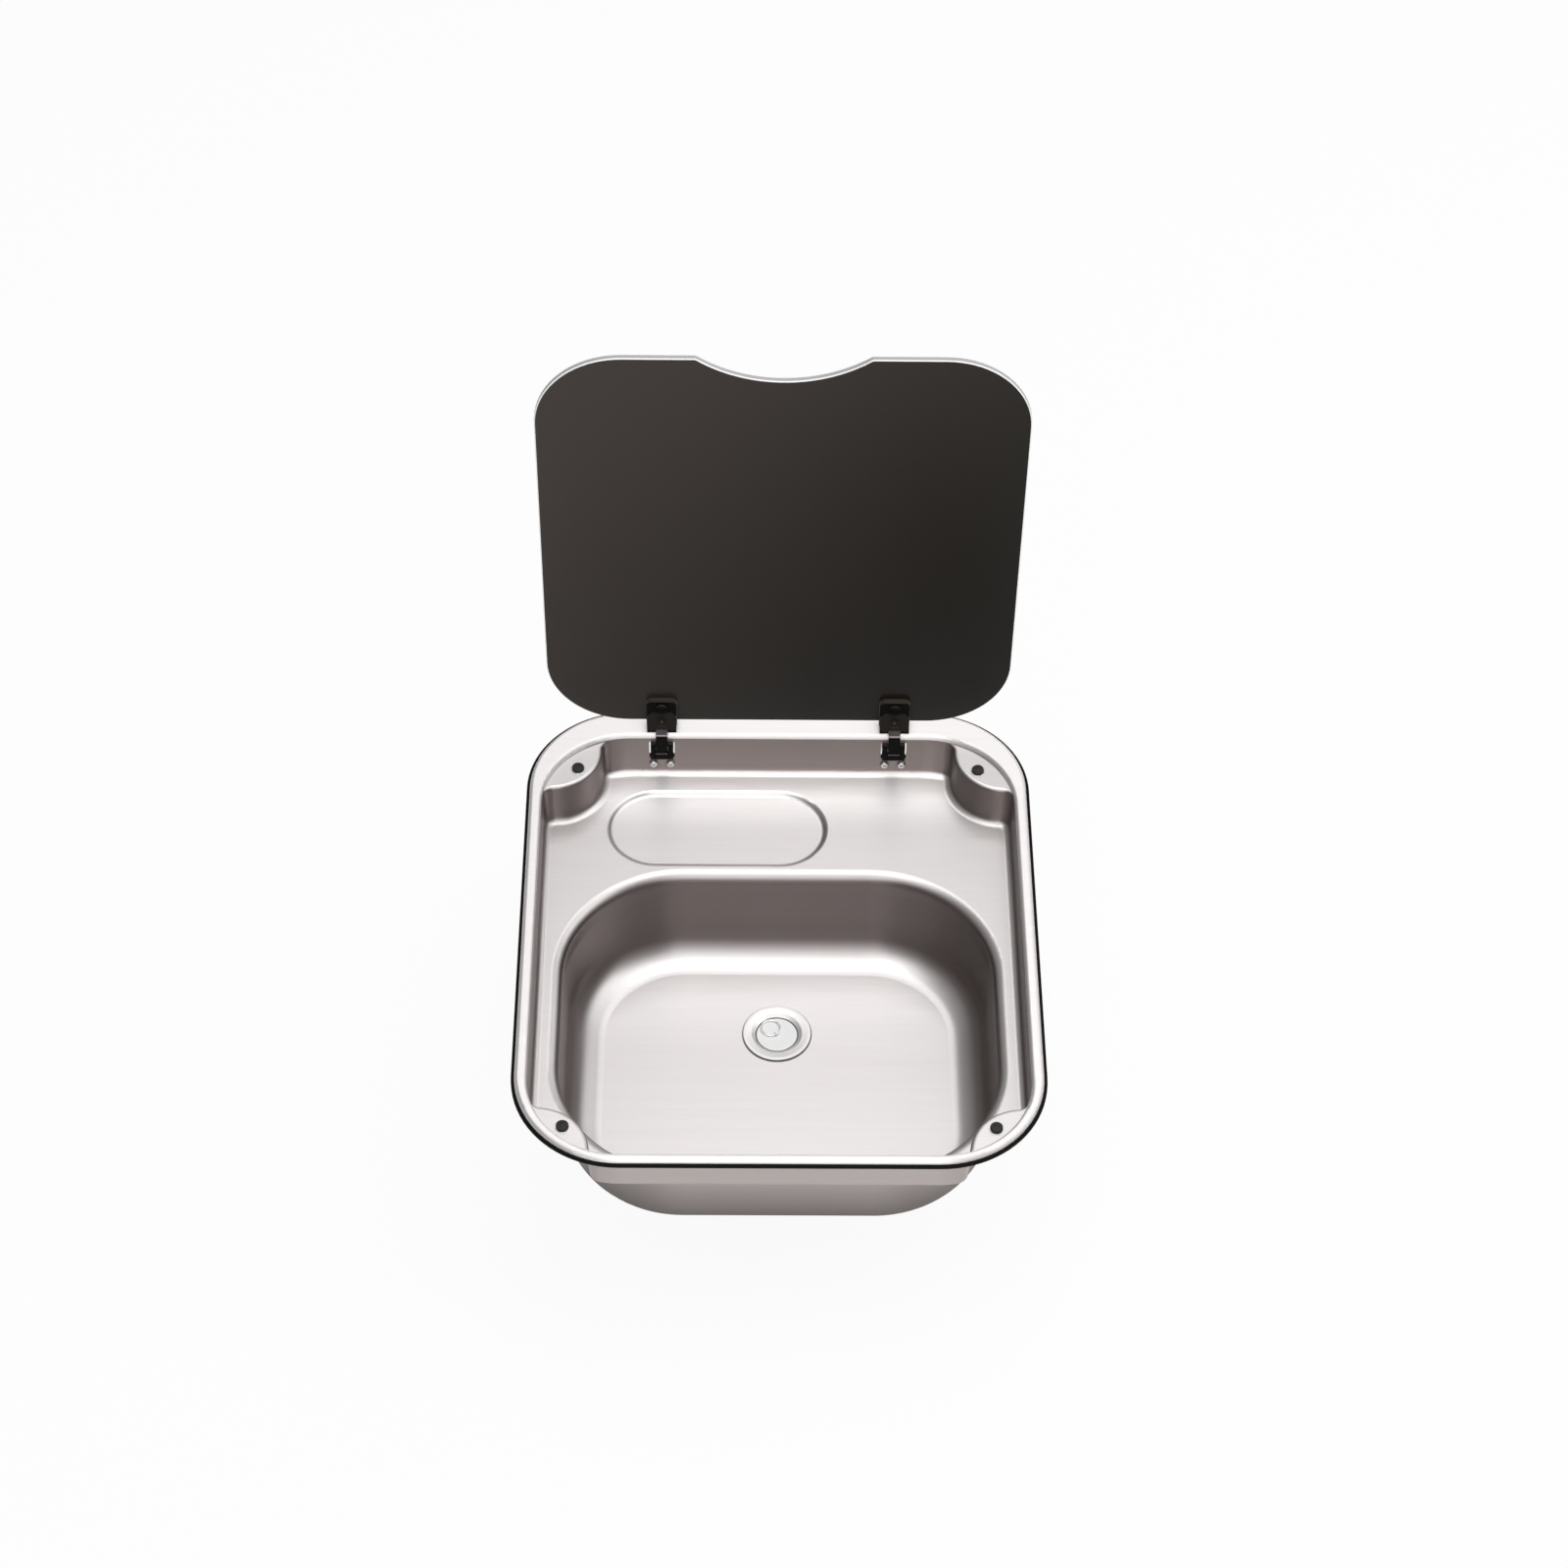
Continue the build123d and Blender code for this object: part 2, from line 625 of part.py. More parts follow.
# ---------------------------------------------------------------- glass clamps
def clamp_body(x):
    """Black clamp in front of the glass: plate, arched wedge and screw boss."""
    with BuildPart() as clamp:
        with BuildSketch(upright(gasket_front)) as plate:
            with Locations((x, (clamp_low + clamp_high) / 2)):
                Rectangle(CLAMP_WIDTH, CLAMP_HEIGHT)
            fillet(plate.vertices().group_by(Axis.Y)[-1], CLAMP_CORNER)
            fillet(plate.vertices().group_by(Axis.Y)[0], CLAMP_ROUND)
        extrude(amount=CLAMP_PLATE)
        front = clamp.faces().filter_by(Plane.XZ).sort_by(Axis.Y)[0]
        fillet(front.edges(), CLAMP_ROUND)
        with BuildSketch(Plane.YZ.offset(x)):
            with BuildLine():
                Polyline(
                    (clamp_front + CLAMP_ROUND, clamp_low),
                    (gasket_front - WEDGE_REACH, clamp_low),
                    (gasket_front - WEDGE_REACH, clamp_low + WEDGE_NOSE),
                    (clamp_front + CLAMP_ROUND, clamp_low + WEDGE_TOP),
                    close=True,
                )
            make_face()
        wedge = extrude(amount=WEDGE_WIDTH / 2, both=True, mode=Mode.PRIVATE)
        with BuildSketch(upright(clamp_front + CLAMP_ROUND), mode=Mode.PRIVATE) as arch:
            with Locations((x, clamp_low)):
                Rectangle(WEDGE_WIDTH, WEDGE_TOP, align=(Align.CENTER, Align.MIN))
            with Locations((x, clamp_low + WEDGE_TOP - WEDGE_ARCH)):
                Circle(WEDGE_ARCH, mode=Mode.INTERSECT)
            with Locations((x, clamp_low)):
                Rectangle(WEDGE_WIDTH, WEDGE_TOP - WEDGE_ARCH, align=(Align.CENTER, Align.MIN))
        add(wedge & extrude(arch.sketch, amount=WEDGE_REACH, mode=Mode.PRIVATE))
        # boss with a counterbore for the screw head
        with BuildSketch(upright(clamp_front)):
            with Locations((x, glass_hole_z)):
                Circle(BOSS_R)
        extrude(amount=BOSS_PROUD)
        boss_front = clamp_front - BOSS_PROUD
        with BuildSketch(upright(boss_front)):
            with Locations((x, glass_hole_z)):
                Circle(CLAMP_HEAD_R + RUN)
        extrude(amount=-CLAMP_HEAD, mode=Mode.SUBTRACT)
        with BuildSketch(upright(boss_front)):
            with Locations((x, glass_hole_z)):
                Circle(CLAMP_SHANK_R + SCREW_CLEAR)
        extrude(amount=-WEDGE_REACH, mode=Mode.SUBTRACT)
        # channel for the strap and its leg, open to the glass and below
        with BuildSketch(Plane.YZ.offset(x)):
            with BuildLine():
                Polyline(
                    (gasket_front - WEDGE_REACH, clamp_low),
                    (gasket_front - WEDGE_REACH, strap_high + RUN),
                    (leg_front - STRAP_BEND, strap_high + RUN),
                    (leg_front - RUN, strap_high + STRAP_BEND),
                    (leg_front - RUN, leg_high + RUN),
                    (gasket_front, leg_high + RUN),
                    (gasket_front, clamp_low),
                    close=True,
                )
            make_face()
        extrude(amount=STRAP_WIDTH / 2 + RUN, both=True, mode=Mode.SUBTRACT)
    return clamp


def clamp_gasket(x):
    """Rubber sheet between the clamp and the glass."""
    low = glass_low + GASKET_INSET
    high = clamp_high - GASKET_INSET
    with BuildPart() as gasket:
        with BuildSketch(upright(glass_front)):
            with Locations((x, (low + high) / 2)):
                RectangleRounded(CLAMP_WIDTH - 2 * GASKET_INSET, high - low, CLAMP_CORNER)
            with Locations((x, glass_hole_z)):
                Circle(GLASS_HOLE_R, mode=Mode.SUBTRACT)
        extrude(amount=CLAMP_GASKET)
    return gasket


def cap_gasket(x):
    """Rubber washer between the glass and the rear cap."""
    with BuildPart() as washer:
        with BuildSketch(upright(glass_back)):
            with Locations((x, glass_hole_z)):
                Circle(CAP_R - GASKET_INSET)
                Circle(GLASS_HOLE_R, mode=Mode.SUBTRACT)
        extrude(amount=-CLAMP_GASKET)
    return washer


def clamp_cap(x):
    """Round cap behind the glass, threaded for the clamp screw."""
    seat = glass_back + CLAMP_GASKET
    with BuildPart() as cap:
        with BuildSketch(upright(seat)):
            with Locations((x, glass_hole_z)):
                Circle(CAP_R)
        extrude(amount=-CAP_THICK)
        fillet(cap.faces().sort_by(Axis.Y)[-1].edges(), CAP_ROUND)
        with BuildSketch(upright(seat)):
            with Locations((x, glass_hole_z)):
                Circle(GLASS_HOLE_R - GAP)
        extrude(amount=CAP_SPIGOT)
        with BuildSketch(upright(seat - CAP_SPIGOT)):
            with Locations((x, glass_hole_z)):
                Circle(CLAMP_SHANK_R + RUN)
        extrude(amount=-CAP_SPIGOT, mode=Mode.SUBTRACT)
    return cap


def clamp_screw(x):
    """Screw through clamp, strap leg and glass into the rear cap."""
    head_front = clamp_front - BOSS_PROUD
    with BuildPart() as screw:
        with BuildSketch(upright(head_front + CLAMP_HEAD)):
            with Locations((x, glass_hole_z)):
                Circle(CLAMP_HEAD_R)
        extrude(amount=CLAMP_HEAD)
        fillet(screw.faces().sort_by(Axis.Y)[0].edges(), CLAMP_HEAD_ROUND)
        with BuildSketch(upright(head_front + CLAMP_HEAD)):
            with Locations((x, glass_hole_z)):
                Circle(CLAMP_SHANK_R)
        extrude(amount=-(glass_back + CLAMP_GASKET - RUN - head_front - CLAMP_HEAD))
    return screw


HINGE_PIECES = (hinge_housing, hinge_arm, hinge_spring, hinge_pin, hinge_nut_plate,
                hinge_screws, clamp_body, clamp_gasket, cap_gasket, clamp_cap, clamp_screw)
for side, side_x in HINGE_SIDES.items():
    for piece in HINGE_PIECES:
        save(piece(side_x), f"{piece.__name__}_{side}")

# ---------------------------------------------------------------- waste
drain = Plane((0, drain_y, -BOWL_DEPTH))
drain_section = Plane((0, drain_y, 0), x_dir=(1, 0, 0), z_dir=(0, -1, 0))
drain_axis = Axis((0, drain_y, 0), (0, 0, 1))
flange_low = -BOWL_DEPTH + FLANGE_GASKET
flange_high = flange_low + FLANGE_EDGE
throat_top = flange_high - FLANGE_DISH
seat_z = throat_top - PLUG_SEAL - PLUG_DISC - PLUG_SEAL_GAP
tube_low = flange_low - TUBE_LENGTH
tube_bore = TUBE_R - TUBE_WALL
metal_floor = -BOWL_DEPTH - SHEET

with BuildPart() as waste_flange:
    with BuildSketch(drain_section):
        with BuildLine():
            Polyline(
                (THROAT_R, throat_top),
                (TUBE_R, flange_high - FLANGE_BEVEL),
                (FLANGE_R - FLANGE_DISH, flange_high),
                (FLANGE_R - FLANGE_BEVEL, flange_high),
                (FLANGE_R, flange_high - FLANGE_BEVEL),
                (FLANGE_R, flange_low),
                (TUBE_R, flange_low),
                (TUBE_R, tube_low),
                (tube_bore, tube_low),
                (tube_bore, seat_z - SEAT_THICK - TUBE_WALL),
                (SEAT_R, seat_z - SEAT_THICK),
                (SEAT_R, seat_z),
                (THROAT_R, seat_z),
                close=True,
            )
        make_face()
    revolve(axis=drain_axis)
    # strainer cross at the foot of the tube
    with BuildSketch(Plane((0, drain_y, tube_low))):
        Rectangle(2 * tube_bore + TUBE_WALL, STRAINER_BAR)
        Rectangle(STRAINER_BAR, 2 * tube_bore + TUBE_WALL)
    extrude(amount=STRAINER_BAR)
save(waste_flange, "waste_flange")

with BuildPart() as flange_gasket:
    with BuildSketch(drain):
        Circle(FLANGE_R - GASKET_MARGIN)
        Circle(floor_hole_r, mode=Mode.SUBTRACT)
    extrude(amount=FLANGE_GASKET)
save(flange_gasket, "flange_gasket")

with BuildPart() as lower_gasket:
    with BuildSketch(Plane((0, drain_y, metal_floor))):
        Circle(LOWER_GASKET_R)
        Circle(TUBE_R + RUN, mode=Mode.SUBTRACT)
    extrude(amount=-LOWER_GASKET)
save(lower_gasket, "lower_gasket")

nut_top = metal_floor - LOWER_GASKET
with BuildPart() as back_nut:
    with BuildSketch(Plane((0, drain_y, nut_top))):
        RegularPolygon(NUT_R, NUT_SIDES)
        Circle(TUBE_R + RUN, mode=Mode.SUBTRACT)
    extrude(amount=-NUT_HEIGHT)
save(back_nut, "back_nut")

cup_r = TUBE_R + CUP_WALL
cup_top = tube_low + CUP_ENGAGE
cup_low = cup_top - CUP_LENGTH
spigot_bore = SPIGOT_R - SPIGOT_WALL
spigot_low = cup_low - (cup_r - SPIGOT_R) - SPIGOT_LENGTH
with BuildPart() as waste_body:
    with BuildSketch(drain_section):
        with BuildLine():
            Polyline(
                (TUBE_R + RUN, cup_top),
                (cup_r, cup_top),
                (cup_r, cup_low),
                (SPIGOT_R, cup_low - (cup_r - SPIGOT_R)),
                (SPIGOT_R, spigot_low),
                (spigot_bore, spigot_low),
                (spigot_bore, cup_low - (cup_r - SPIGOT_R)),
                (TUBE_R + RUN, cup_low),
                close=True,
            )
        make_face()
    revolve(axis=drain_axis)
save(waste_body, "waste_body")

# ---------------------------------------------------------------- plug
seal_low = seat_z + PLUG_SEAL_GAP
disc_low = seal_low + PLUG_SEAL
plug_top = disc_low + PLUG_DISC
ring_z = plug_top + RING_REST + RING_WIRE_R
bearing = math.radians(RING_BEARING)
eye_plane = Plane((0, drain_y, plug_top), x_dir=(-math.sin(bearing), math.cos(bearing), 0),
                  z_dir=(0, 0, 1))

with BuildPart() as plug_seal:
    with BuildSketch(Plane((0, drain_y, seal_low))):
        Circle(PLUG_R)
        Circle(PLUG_STEM_R + RUN, mode=Mode.SUBTRACT)
    extrude(amount=PLUG_SEAL)
save(plug_seal, "plug_seal")

with BuildPart() as plug_disc:
    with BuildSketch(Plane((0, drain_y, disc_low))):
        Circle(PLUG_R)
    extrude(amount=PLUG_DISC)
    fillet(level_edges(plug_disc.faces(), plug_top).edges(), PLUG_ROUND)
    with BuildSketch(Plane((0, drain_y, disc_low))):
        Circle(PLUG_STEM_R)
    extrude(amount=-PLUG_STEM)
    # eye for the lift ring, bored along the ring's tangent
    with BuildSketch(eye_plane):
        Rectangle(EYE_LENGTH, EYE_DEPTH)
    extrude(amount=ring_z - plug_top + EYE_BORE_R + EYE_TOP_WALL)
    with BuildSketch(Plane(eye_plane.origin, x_dir=eye_plane.y_dir, z_dir=eye_plane.x_dir)):
        with Locations((0, ring_z - plug_top)):
            Circle(EYE_BORE_R)
    extrude(amount=EYE_LENGTH, both=True, mode=Mode.SUBTRACT)
save(plug_disc, "plug_disc")

ring_centre = Vector(RING_R * math.cos(bearing), drain_y + RING_R * math.sin(bearing), ring_z)
with BuildPart() as plug_ring:
    with BuildSketch(Plane(ring_centre, x_dir=(1, 0, 0), z_dir=(0, -1, 0))):
        with Locations((RING_R, 0)):
            Circle(RING_WIRE_R)
    revolve(axis=Axis(ring_centre, (0, 0, 1)))
save(plug_ring, "plug_ring")
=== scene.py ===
"""Drop-in camper sink with a hinged glass lid, dressed and lit for a plain studio picture."""

import logging
import math
from dataclasses import dataclass
from enum import Enum
from functools import cached_property
from typing import Any, Callable

import bpy
from mathutils import Matrix, Vector


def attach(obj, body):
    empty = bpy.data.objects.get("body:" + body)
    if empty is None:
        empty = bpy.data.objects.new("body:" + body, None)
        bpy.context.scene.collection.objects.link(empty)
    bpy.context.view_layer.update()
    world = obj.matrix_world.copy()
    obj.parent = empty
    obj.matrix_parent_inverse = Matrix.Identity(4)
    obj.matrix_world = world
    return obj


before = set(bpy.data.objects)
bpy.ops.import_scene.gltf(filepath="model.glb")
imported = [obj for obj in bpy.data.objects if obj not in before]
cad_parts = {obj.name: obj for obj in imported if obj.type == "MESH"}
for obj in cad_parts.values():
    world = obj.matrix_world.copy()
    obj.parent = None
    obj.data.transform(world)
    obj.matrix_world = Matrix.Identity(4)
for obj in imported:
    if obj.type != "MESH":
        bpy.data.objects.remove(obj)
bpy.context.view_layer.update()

log = logging.getLogger("sink")

MM = 0.001
SUNK = 0.05  # mm; how deep an added piece's foot lies inside what carries it
WELD = 0.001  # mm; vertices closer than this become one
WHITE = (1.0, 1.0, 1.0, 1.0)

Span = tuple[float, float]
Point = tuple[float, float, float]


# ------------------------------------------------------------------ small tools
def linear(code: str) -> tuple[float, float, float, float]:
    """Turn an sRGB hex colour into linear RGBA.

    Args:
        code: Six hex digits after a hash.

    Returns:
        Linear red, green, blue and an alpha of 1.
    """
    parts = (int(code[i : i + 2], 16) / 255 for i in (1, 3, 5))
    red, green, blue = (
        p / 12.92 if p <= 0.04045 else ((p + 0.055) / 1.055) ** 2.4 for p in parts
    )
    return red, green, blue, 1.0


def metres(*lengths: float) -> tuple[float, ...]:
    """Turn millimetres into metres.

    Args:
        lengths: Lengths in millimetres.

    Returns:
        The same lengths in metres.
    """
    return tuple(length * MM for length in lengths)


def wear(material: bpy.types.Material, *nodes: str) -> None:
    """Give CAD nodes a finish.

    Args:
        material: The finish.
        nodes: Names of the CAD nodes.
    """
    for name in nodes:
        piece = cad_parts[name]
        piece.data.materials.clear()
        piece.data.materials.append(material)
        log.info("%s wears %s", name, material.name)


def start(name: str, add: Callable[..., set[str]], **shape: Any) -> bpy.types.Object:
    """Add a primitive with nothing else selected and open it for editing.

    Args:
        name: The new piece's name.
        add: The primitive's operator.
        shape: The operator's settings.

    Returns:
        The new piece, in edit mode with all of it selected.
    """
    bpy.ops.object.select_all(action="DESELECT")
    add(**shape)
    piece = bpy.context.object
    piece.name = piece.data.name = name
    bpy.ops.object.transform_apply(location=True, rotation=True, scale=True)
    bpy.ops.object.mode_set(mode="EDIT")
    bpy.ops.mesh.select_all(action="SELECT")
    return piece


def pick_faces(piece: bpy.types.Object, wanted: Callable[[Vector], bool]) -> None:
    """Select only the faces of an open piece that pass a test.

    Args:
        piece: The piece in edit mode.
        wanted: Test on a face's normal.
    """
    bpy.ops.mesh.select_mode(type="FACE")
    bpy.ops.mesh.select_all(action="DESELECT")
    bpy.ops.object.mode_set(mode="OBJECT")
    for face in piece.data.polygons:
        face.select = wanted(face.normal)
    bpy.ops.object.mode_set(mode="EDIT")


def pick_points(piece: bpy.types.Object, wanted: Callable[[Vector], bool]) -> None:
    """Select only the vertices of an open piece that pass a test.

    Args:
        piece: The piece in edit mode.
        wanted: Test on a vertex's place.
    """
    bpy.ops.mesh.select_mode(type="VERT")
    bpy.ops.mesh.select_all(action="DESELECT")
    bpy.ops.object.mode_set(mode="OBJECT")
    for vertex in piece.data.vertices:
        vertex.select = wanted(vertex.co)
    bpy.ops.object.mode_set(mode="EDIT")


def close(
    piece: bpy.types.Object,
    material: bpy.types.Material,
    body: str,
    smooth: float = 35.0,
) -> bpy.types.Object:
    """Finish an open piece: merge doubles, turn faces out, smooth, paint and ride.

    Args:
        piece: The piece in edit mode.
        material: Its finish.
        body: The CAD body that carries it.
        smooth: Angle in degrees up to which neighbouring faces are shaded as one.

    Returns:
        The finished piece.
    """
    bpy.ops.mesh.select_all(action="SELECT")
    bpy.ops.mesh.remove_doubles(threshold=WELD * MM)
    bpy.ops.mesh.normals_make_consistent(inside=False)
    bpy.ops.object.mode_set(mode="OBJECT")
    bpy.ops.object.shade_smooth_by_angle(angle=math.radians(smooth))
    piece.data.materials.append(material)
    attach(piece, body)
    log.info("%s rides on %s", piece.name, body)
    return piece


def spun_ring(
    name: str, axis: Span, radii: Span, heights: Span, rounding: float
) -> bpy.types.Object:
    """Spin a rounded rectangle into a ring about an upright axis, all in millimetres.

    Args:
        name: The new piece's name.
        axis: The axis's x and y.
        radii: The inner and the outer radius.
        heights: The lowest and the highest z.
        rounding: The radius of the profile's corners.

    Returns:
        The ring, in edit mode.
    """
    (x, y), (inner, outer), (low, high) = axis, radii, heights
    width = outer - inner
    piece = start(
        name,
        bpy.ops.mesh.primitive_plane_add,
        size=width * MM,
        location=metres(x + inner + width / 2, y, (low + high) / 2),
        rotation=(math.radians(90), 0, 0),
    )
    bpy.ops.transform.resize(value=(1, 1, (high - low) / width))
    bpy.ops.mesh.bevel(offset=rounding * MM, segments=3, affect="VERTICES")
    bpy.ops.mesh.delete(type="ONLY_FACE")
    bpy.ops.mesh.select_all(action="SELECT")
    bpy.ops.mesh.spin(steps=64, angle=math.tau, center=metres(x, y, 0), axis=(0, 0, 1))
    return piece


def copy_to(piece: bpy.types.Object, name: str, shift: Point) -> None:
    """Copy a finished piece to another place, with its own mesh, on the same body.

    Args:
        piece: The finished piece.
        name: The copy's name.
        shift: How far the copy moves, in metres.
    """
    bpy.ops.object.select_all(action="DESELECT")
    piece.select_set(True)
    bpy.context.view_layer.objects.active = piece
    bpy.ops.object.duplicate(linked=False)
    copy = bpy.context.object
    copy.name = copy.data.name = name
    bpy.ops.object.mode_set(mode="EDIT")
    bpy.ops.mesh.select_all(action="SELECT")
    bpy.ops.transform.translate(value=shift)
    bpy.ops.object.mode_set(mode="OBJECT")
    log.info("%s copied from %s", name, piece.name)


class Shader:
    """A node tree being built, with a short call for each step that the finishes share."""

    def __init__(self, owner: bpy.types.Material | bpy.types.World) -> None:
        """Start with an empty tree.

        Args:
            owner: The material or the world that the tree belongs to.
        """
        owner.use_nodes = True
        self.owner = owner
        self.tree = owner.node_tree
        self.tree.nodes.clear()

    def put(
        self,
        kind: str,
        settings: dict[str, Any] | None = None,
        inputs: dict[str | int, Any] | None = None,
    ) -> bpy.types.Node:
        """Add a node with its settings, socket values and links.

        Args:
            kind: The node's type, without its leading "ShaderNode".
            settings: Properties to set on the node.
            inputs: For each socket, a value, a hex colour, or an output socket to link from.

        Returns:
            The new node.
        """
        node = self.tree.nodes.new(f"ShaderNode{kind}")
        for name, value in (settings or {}).items():
            setattr(node, name, value)
        for name, value in (inputs or {}).items():
            socket = node.inputs[name]
            if isinstance(value, bpy.types.NodeSocket):
                self.tree.links.new(value, socket)
            else:
                socket.default_value = linear(value) if isinstance(value, str) else value
        return node

    @cached_property
    def place(self) -> bpy.types.Node:
        """The texture coordinates."""
        return self.put("TexCoord")

    @cached_property
    def spot(self) -> bpy.types.Node:
        """The place's X, Y and Z in metres, in the sink's own frame."""
        return self.put("SeparateXYZ", inputs={0: self.place.outputs["Object"]})

    @cached_property
    def facing(self) -> bpy.types.Node:
        """The normal's X, Y and Z."""
        return self.put("SeparateXYZ", inputs={0: self.place.outputs["Normal"]})

    @cached_property
    def path(self) -> bpy.types.Node:
        """The kinds of ray."""
        return self.put("LightPath")

    @cached_property
    def seen(self) -> bpy.types.NodeSocket:
        """A share that is 1 to the camera, also through glass, and 0 to other rays."""
        rays = self.path.outputs
        return self.calc("MAXIMUM", rays["Is Camera Ray"], rays["Is Transmission Ray"])

    def calc(self, operation: str, *values: float | bpy.types.NodeSocket) -> bpy.types.NodeSocket:
        """Add a sum on numbers.

        Args:
            operation: What the Math node does.
            values: Its numbers or sockets, in their order.

        Returns:
            The result.
        """
        return self.put("Math", {"operation": operation}, dict(enumerate(values))).outputs[0]

    def ramp(
        self,
        value: bpy.types.NodeSocket,
        span: Span = (0.0, 1.0),
        to: Span = (0.0, 1.0),
        smooth: bool = False,
    ) -> bpy.types.NodeSocket:
        """Map one span onto another, held at both ends.

        Args:
            value: The number to map.
            span: Where it starts and ends.
            to: What it becomes there.
            smooth: Whether it eases in and out.

        Returns:
            The mapped number.
        """
        kind = "SMOOTHSTEP" if smooth else "LINEAR"
        ends = {0: value, 1: span[0], 2: span[1], 3: to[0], 4: to[1]}
        return self.put("MapRange", {"interpolation_type": kind}, ends).outputs[0]

    def dot(self, one: bpy.types.NodeSocket, other: Any) -> bpy.types.NodeSocket:
        """Add the dot product of two vectors.

        Args:
            one: The first vector.
            other: The second vector, as a socket or as its three numbers.

        Returns:
            The product.
        """
        product = self.put("VectorMath", {"operation": "DOT_PRODUCT"}, {0: one, 1: other})
        return product.outputs["Value"]

    def mix(
        self,
        share: bpy.types.NodeSocket,
        first: str | bpy.types.NodeSocket,
        second: str | bpy.types.NodeSocket,
    ) -> bpy.types.NodeSocket:
        """Mix two colours.

        Args:
            share: The second colour's share.
            first: The first colour.
            second: The second colour.

        Returns:
            The mixed colour.
        """
        colours = {0: share, 6: first, 7: second}
        return self.put("Mix", {"data_type": "RGBA"}, colours).outputs[2]

    def shade(
        self, colour: str | bpy.types.NodeSocket, level: bpy.types.NodeSocket
    ) -> bpy.types.NodeSocket:
        """Make a colour lighter or darker.

        Args:
            colour: The colour.
            level: What to multiply its brightness by.

        Returns:
            The shaded colour.
        """
        return self.put("HueSaturation", inputs={"Color": colour, "Value": level}).outputs[0]

    def speckle(self, size: float) -> bpy.types.NodeSocket:
        """Add noise of one size all round.

        Args:
            size: The grains' size in millimetres.

        Returns:
            The noise.
        """
        where = {"Vector": self.place.outputs["Object"], "Scale": 1 / (size * MM)}
        return self.put("TexNoise", inputs=where).outputs[0]

    def streaks(self, size: Point, **more: float) -> bpy.types.NodeSocket:
        """Add noise that is drawn out.

        Args:
            size: The grains' length along x, y and z in millimetres.
            more: Other sockets of the noise node.

        Returns:
            The noise.
        """
        scale = tuple(1 / (length * MM) for length in size)
        where = {"Vector": self.place.outputs["Object"], "Scale": scale}
        drawn = self.put("Mapping", inputs=where).outputs[0]
        return self.put("TexNoise", inputs={"Vector": drawn, "Scale": 1.0, **more}).outputs[0]

    def bump(
        self, height: bpy.types.NodeSocket, depth: float, strength: float
    ) -> bpy.types.NodeSocket:
        """Add a relief.

        Args:
            height: The relief's height, from 0 to 1.
            depth: How deep that is, in millimetres.
            strength: The relief's share.

        Returns:
            The bent normal.
        """
        relief = {"Strength": strength, "Distance": depth * MM, "Height": height}
        return self.put("Bump", inputs=relief).outputs[0]

    def surface(self, inputs: dict[str, Any]) -> bpy.types.Material:
        """Close a material's tree with its surface.

        Args:
            inputs: The principled shader's sockets.

        Returns:
            The finished material.
        """
        shader = self.put("BsdfPrincipled", inputs=inputs)
        self.put("OutputMaterial", inputs={0: shader.outputs[0]})
        return self.owner


